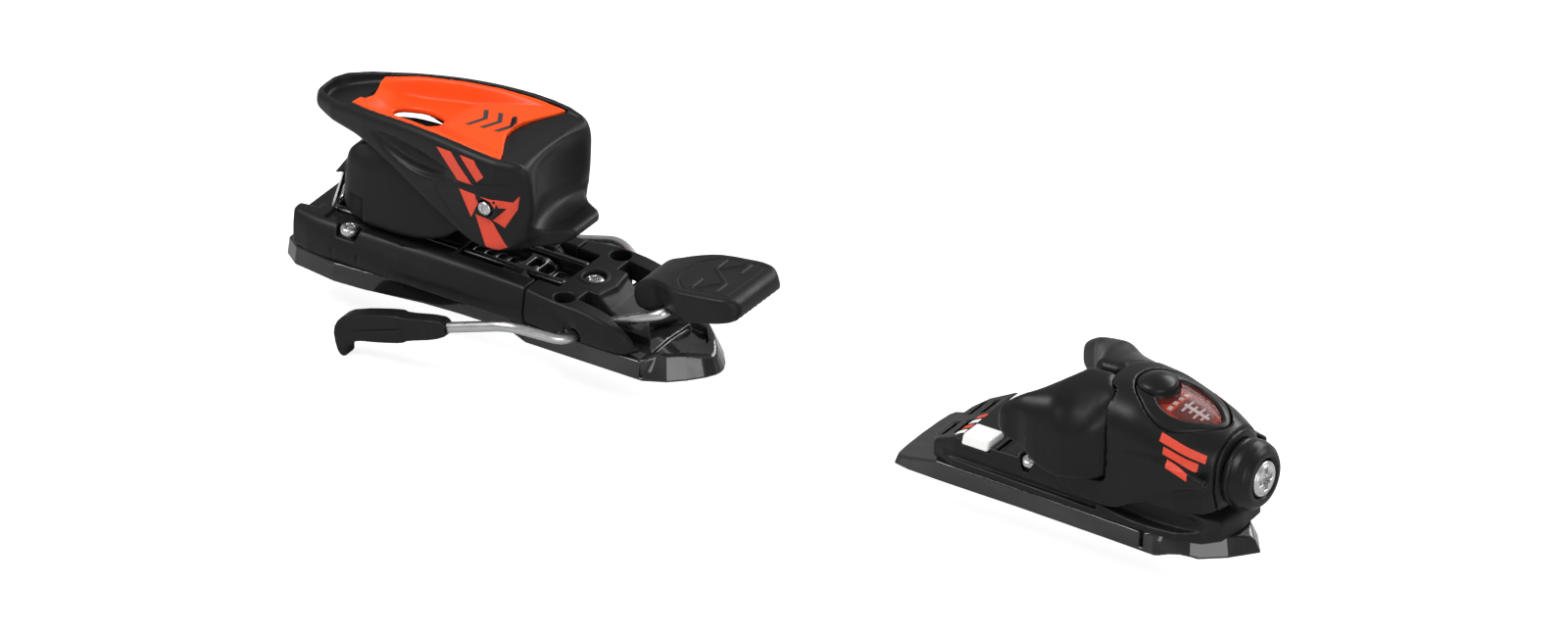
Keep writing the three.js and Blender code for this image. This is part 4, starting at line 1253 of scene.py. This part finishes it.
def toe_setting_screw():
    low, high = node_box("toe_setting_screw")
    g = Grid(low, high, 0.35)
    z = g.z - TOE_AXIS_Z
    r = np.hypot(g.y, z)
    face = high[0] - 0.014 * r * r
    head = both(both(r - 8.3, g.x - face, 1.2), 343 - g.x, 0.5)
    body = join(head, pole(g.y, z, 2.4, g.x, low[0] + 0.5, 344), 0.5)
    body = cut(body, both(cross_recess(g.y, z, 5.2, 1.4), high[0] - 3.2 - g.x, 0.3), 0.4)
    body = cut(body, both(np.abs(r - 6.9) - 0.25, high[0] - 1.3 - g.x, 0.2), 0.3)
    cast("toe_setting_screw_head", g, body, BRIGHT, "toe_setting_screw")


# ---- hidden pieces keep their CAD shape -----------------------------------------------------


def dress_frame():
    looks = {
        DARK: "heel_spring heel_plunger toe_spring toe_piston wing_pin_left wing_pin_right",
        BRIGHT: "heel_axle forward_pressure_screw heel_setting_screw",
        ORANGE: "heel_indicator_nut toe_indicator_nut",
    }
    for look, names in looks.items():
        for name in names.split():
            mesh = frame["nodes"][name].data
            mesh.materials.clear()
            mesh.materials.append(look)


# ---- studio -------------------------------------------------------------------------------

VIEW_AZIMUTH, VIEW_ELEVATION = 33.8, 30.0
VIEW_CENTRE = Vector((0.100, 0.0, 0.0378))
VIEW_WIDTH, VIEW_DISTANCE = 0.681, 2.0
AMBIENT = 0.38  # how brightly the white surroundings light the piece
FLOOR_GLOW = 0.8  # what the floor gives off towards the camera alone
FLOOR_REACH, FLOOR_GAP = 4.0, 0.001
FLOOR_CORNERS = [(-1, -1), (1, -1), (1, 1), (-1, 1)]


def camera():
    azimuth, elevation = math.radians(VIEW_AZIMUTH), math.radians(VIEW_ELEVATION)
    level = math.cos(elevation)
    back = Vector(
        (math.sin(azimuth) * level, -math.cos(azimuth) * level, math.sin(elevation))
    )
    data = bpy.data.cameras.new("view")
    data.type = "ORTHO"
    data.ortho_scale = VIEW_WIDTH
    data.clip_end = 20
    seen = in_scene("view", data)
    seen.location = VIEW_CENTRE + back * VIEW_DISTANCE
    seen.rotation_euler = back.to_track_quat("Z", "Y").to_euler()
    bpy.context.scene.camera = seen


def lamp(name, place, size, power):
    data = bpy.data.lights.new(name, "AREA")
    data.shape = "RECTANGLE"
    data.size, data.size_y = size
    data.energy = power
    made = in_scene(name, data)
    made.location = Vector(place)
    made.rotation_euler = (Vector(place) - VIEW_CENTRE).to_track_quat("Z", "Y").to_euler()


def studio():
    world = bpy.data.worlds.new("studio")
    world.use_nodes = True
    nodes, links = world.node_tree.nodes, world.node_tree.links
    seen, lit = nodes["Background"], nodes.new("ShaderNodeBackground")
    for node, strength in ((seen, 1.0), (lit, AMBIENT)):
        node.inputs["Color"].default_value = (1, 1, 1, 1)
        node.inputs["Strength"].default_value = strength
    path, mix = nodes.new("ShaderNodeLightPath"), nodes.new("ShaderNodeMixShader")
    links.new(path.outputs["Is Camera Ray"], mix.inputs["Fac"])
    links.new(lit.outputs["Background"], mix.inputs[1])
    links.new(seen.outputs["Background"], mix.inputs[2])
    links.new(mix.outputs["Shader"], nodes["World Output"].inputs["Surface"])
    bpy.context.scene.world = world
    lamp("key", (-0.5, -0.6, 1.1), (0.8, 0.5), 14)
    lamp("rim", (0.5, 0.9, 0.7), (1.2, 0.4), 12)
    lamp("fill", (1.0, -0.7, 0.4), (0.6, 0.6), 4)
    bpy.context.scene.view_settings.view_transform = "Standard"


def floor():
    mesh = bpy.data.meshes.new("floor")
    level = CAD_BOX[0][2] - FLOOR_GAP
    corners = [(x * FLOOR_REACH, y * FLOOR_REACH, level) for x, y in FLOOR_CORNERS]
    mesh.from_pydata(corners, [], [(0, 1, 2, 3)])
    look = Look("pale_floor", (0.55, 0.55, 0.55), 0.9)
    look.tint(look.ranged(look.noise(30, 3), 0, 0.2), (0.6, 0.6, 0.6))
    seen = look.node("ShaderNodeLightPath").outputs["Is Camera Ray"]
    look.set("Emission Color", (1, 1, 1, 1))
    look.drive("Emission Strength", look.ranged(seen, 0.0, FLOOR_GLOW))
    mesh.materials.append(look.material)
    in_scene("floor", mesh)


heel_lifter()
brake_base()
heel_track()
rails()
column()
rear_bracket()
heel_jaw()
brake_wires()
brake_pedal()
brake_feet()
screws()
toe_lifter()
toe_base()
afd_pad()
toe_housing()
wings()
window()
nose_cap()
toe_setting_screw()
dress_frame()
camera()
studio()
floor()
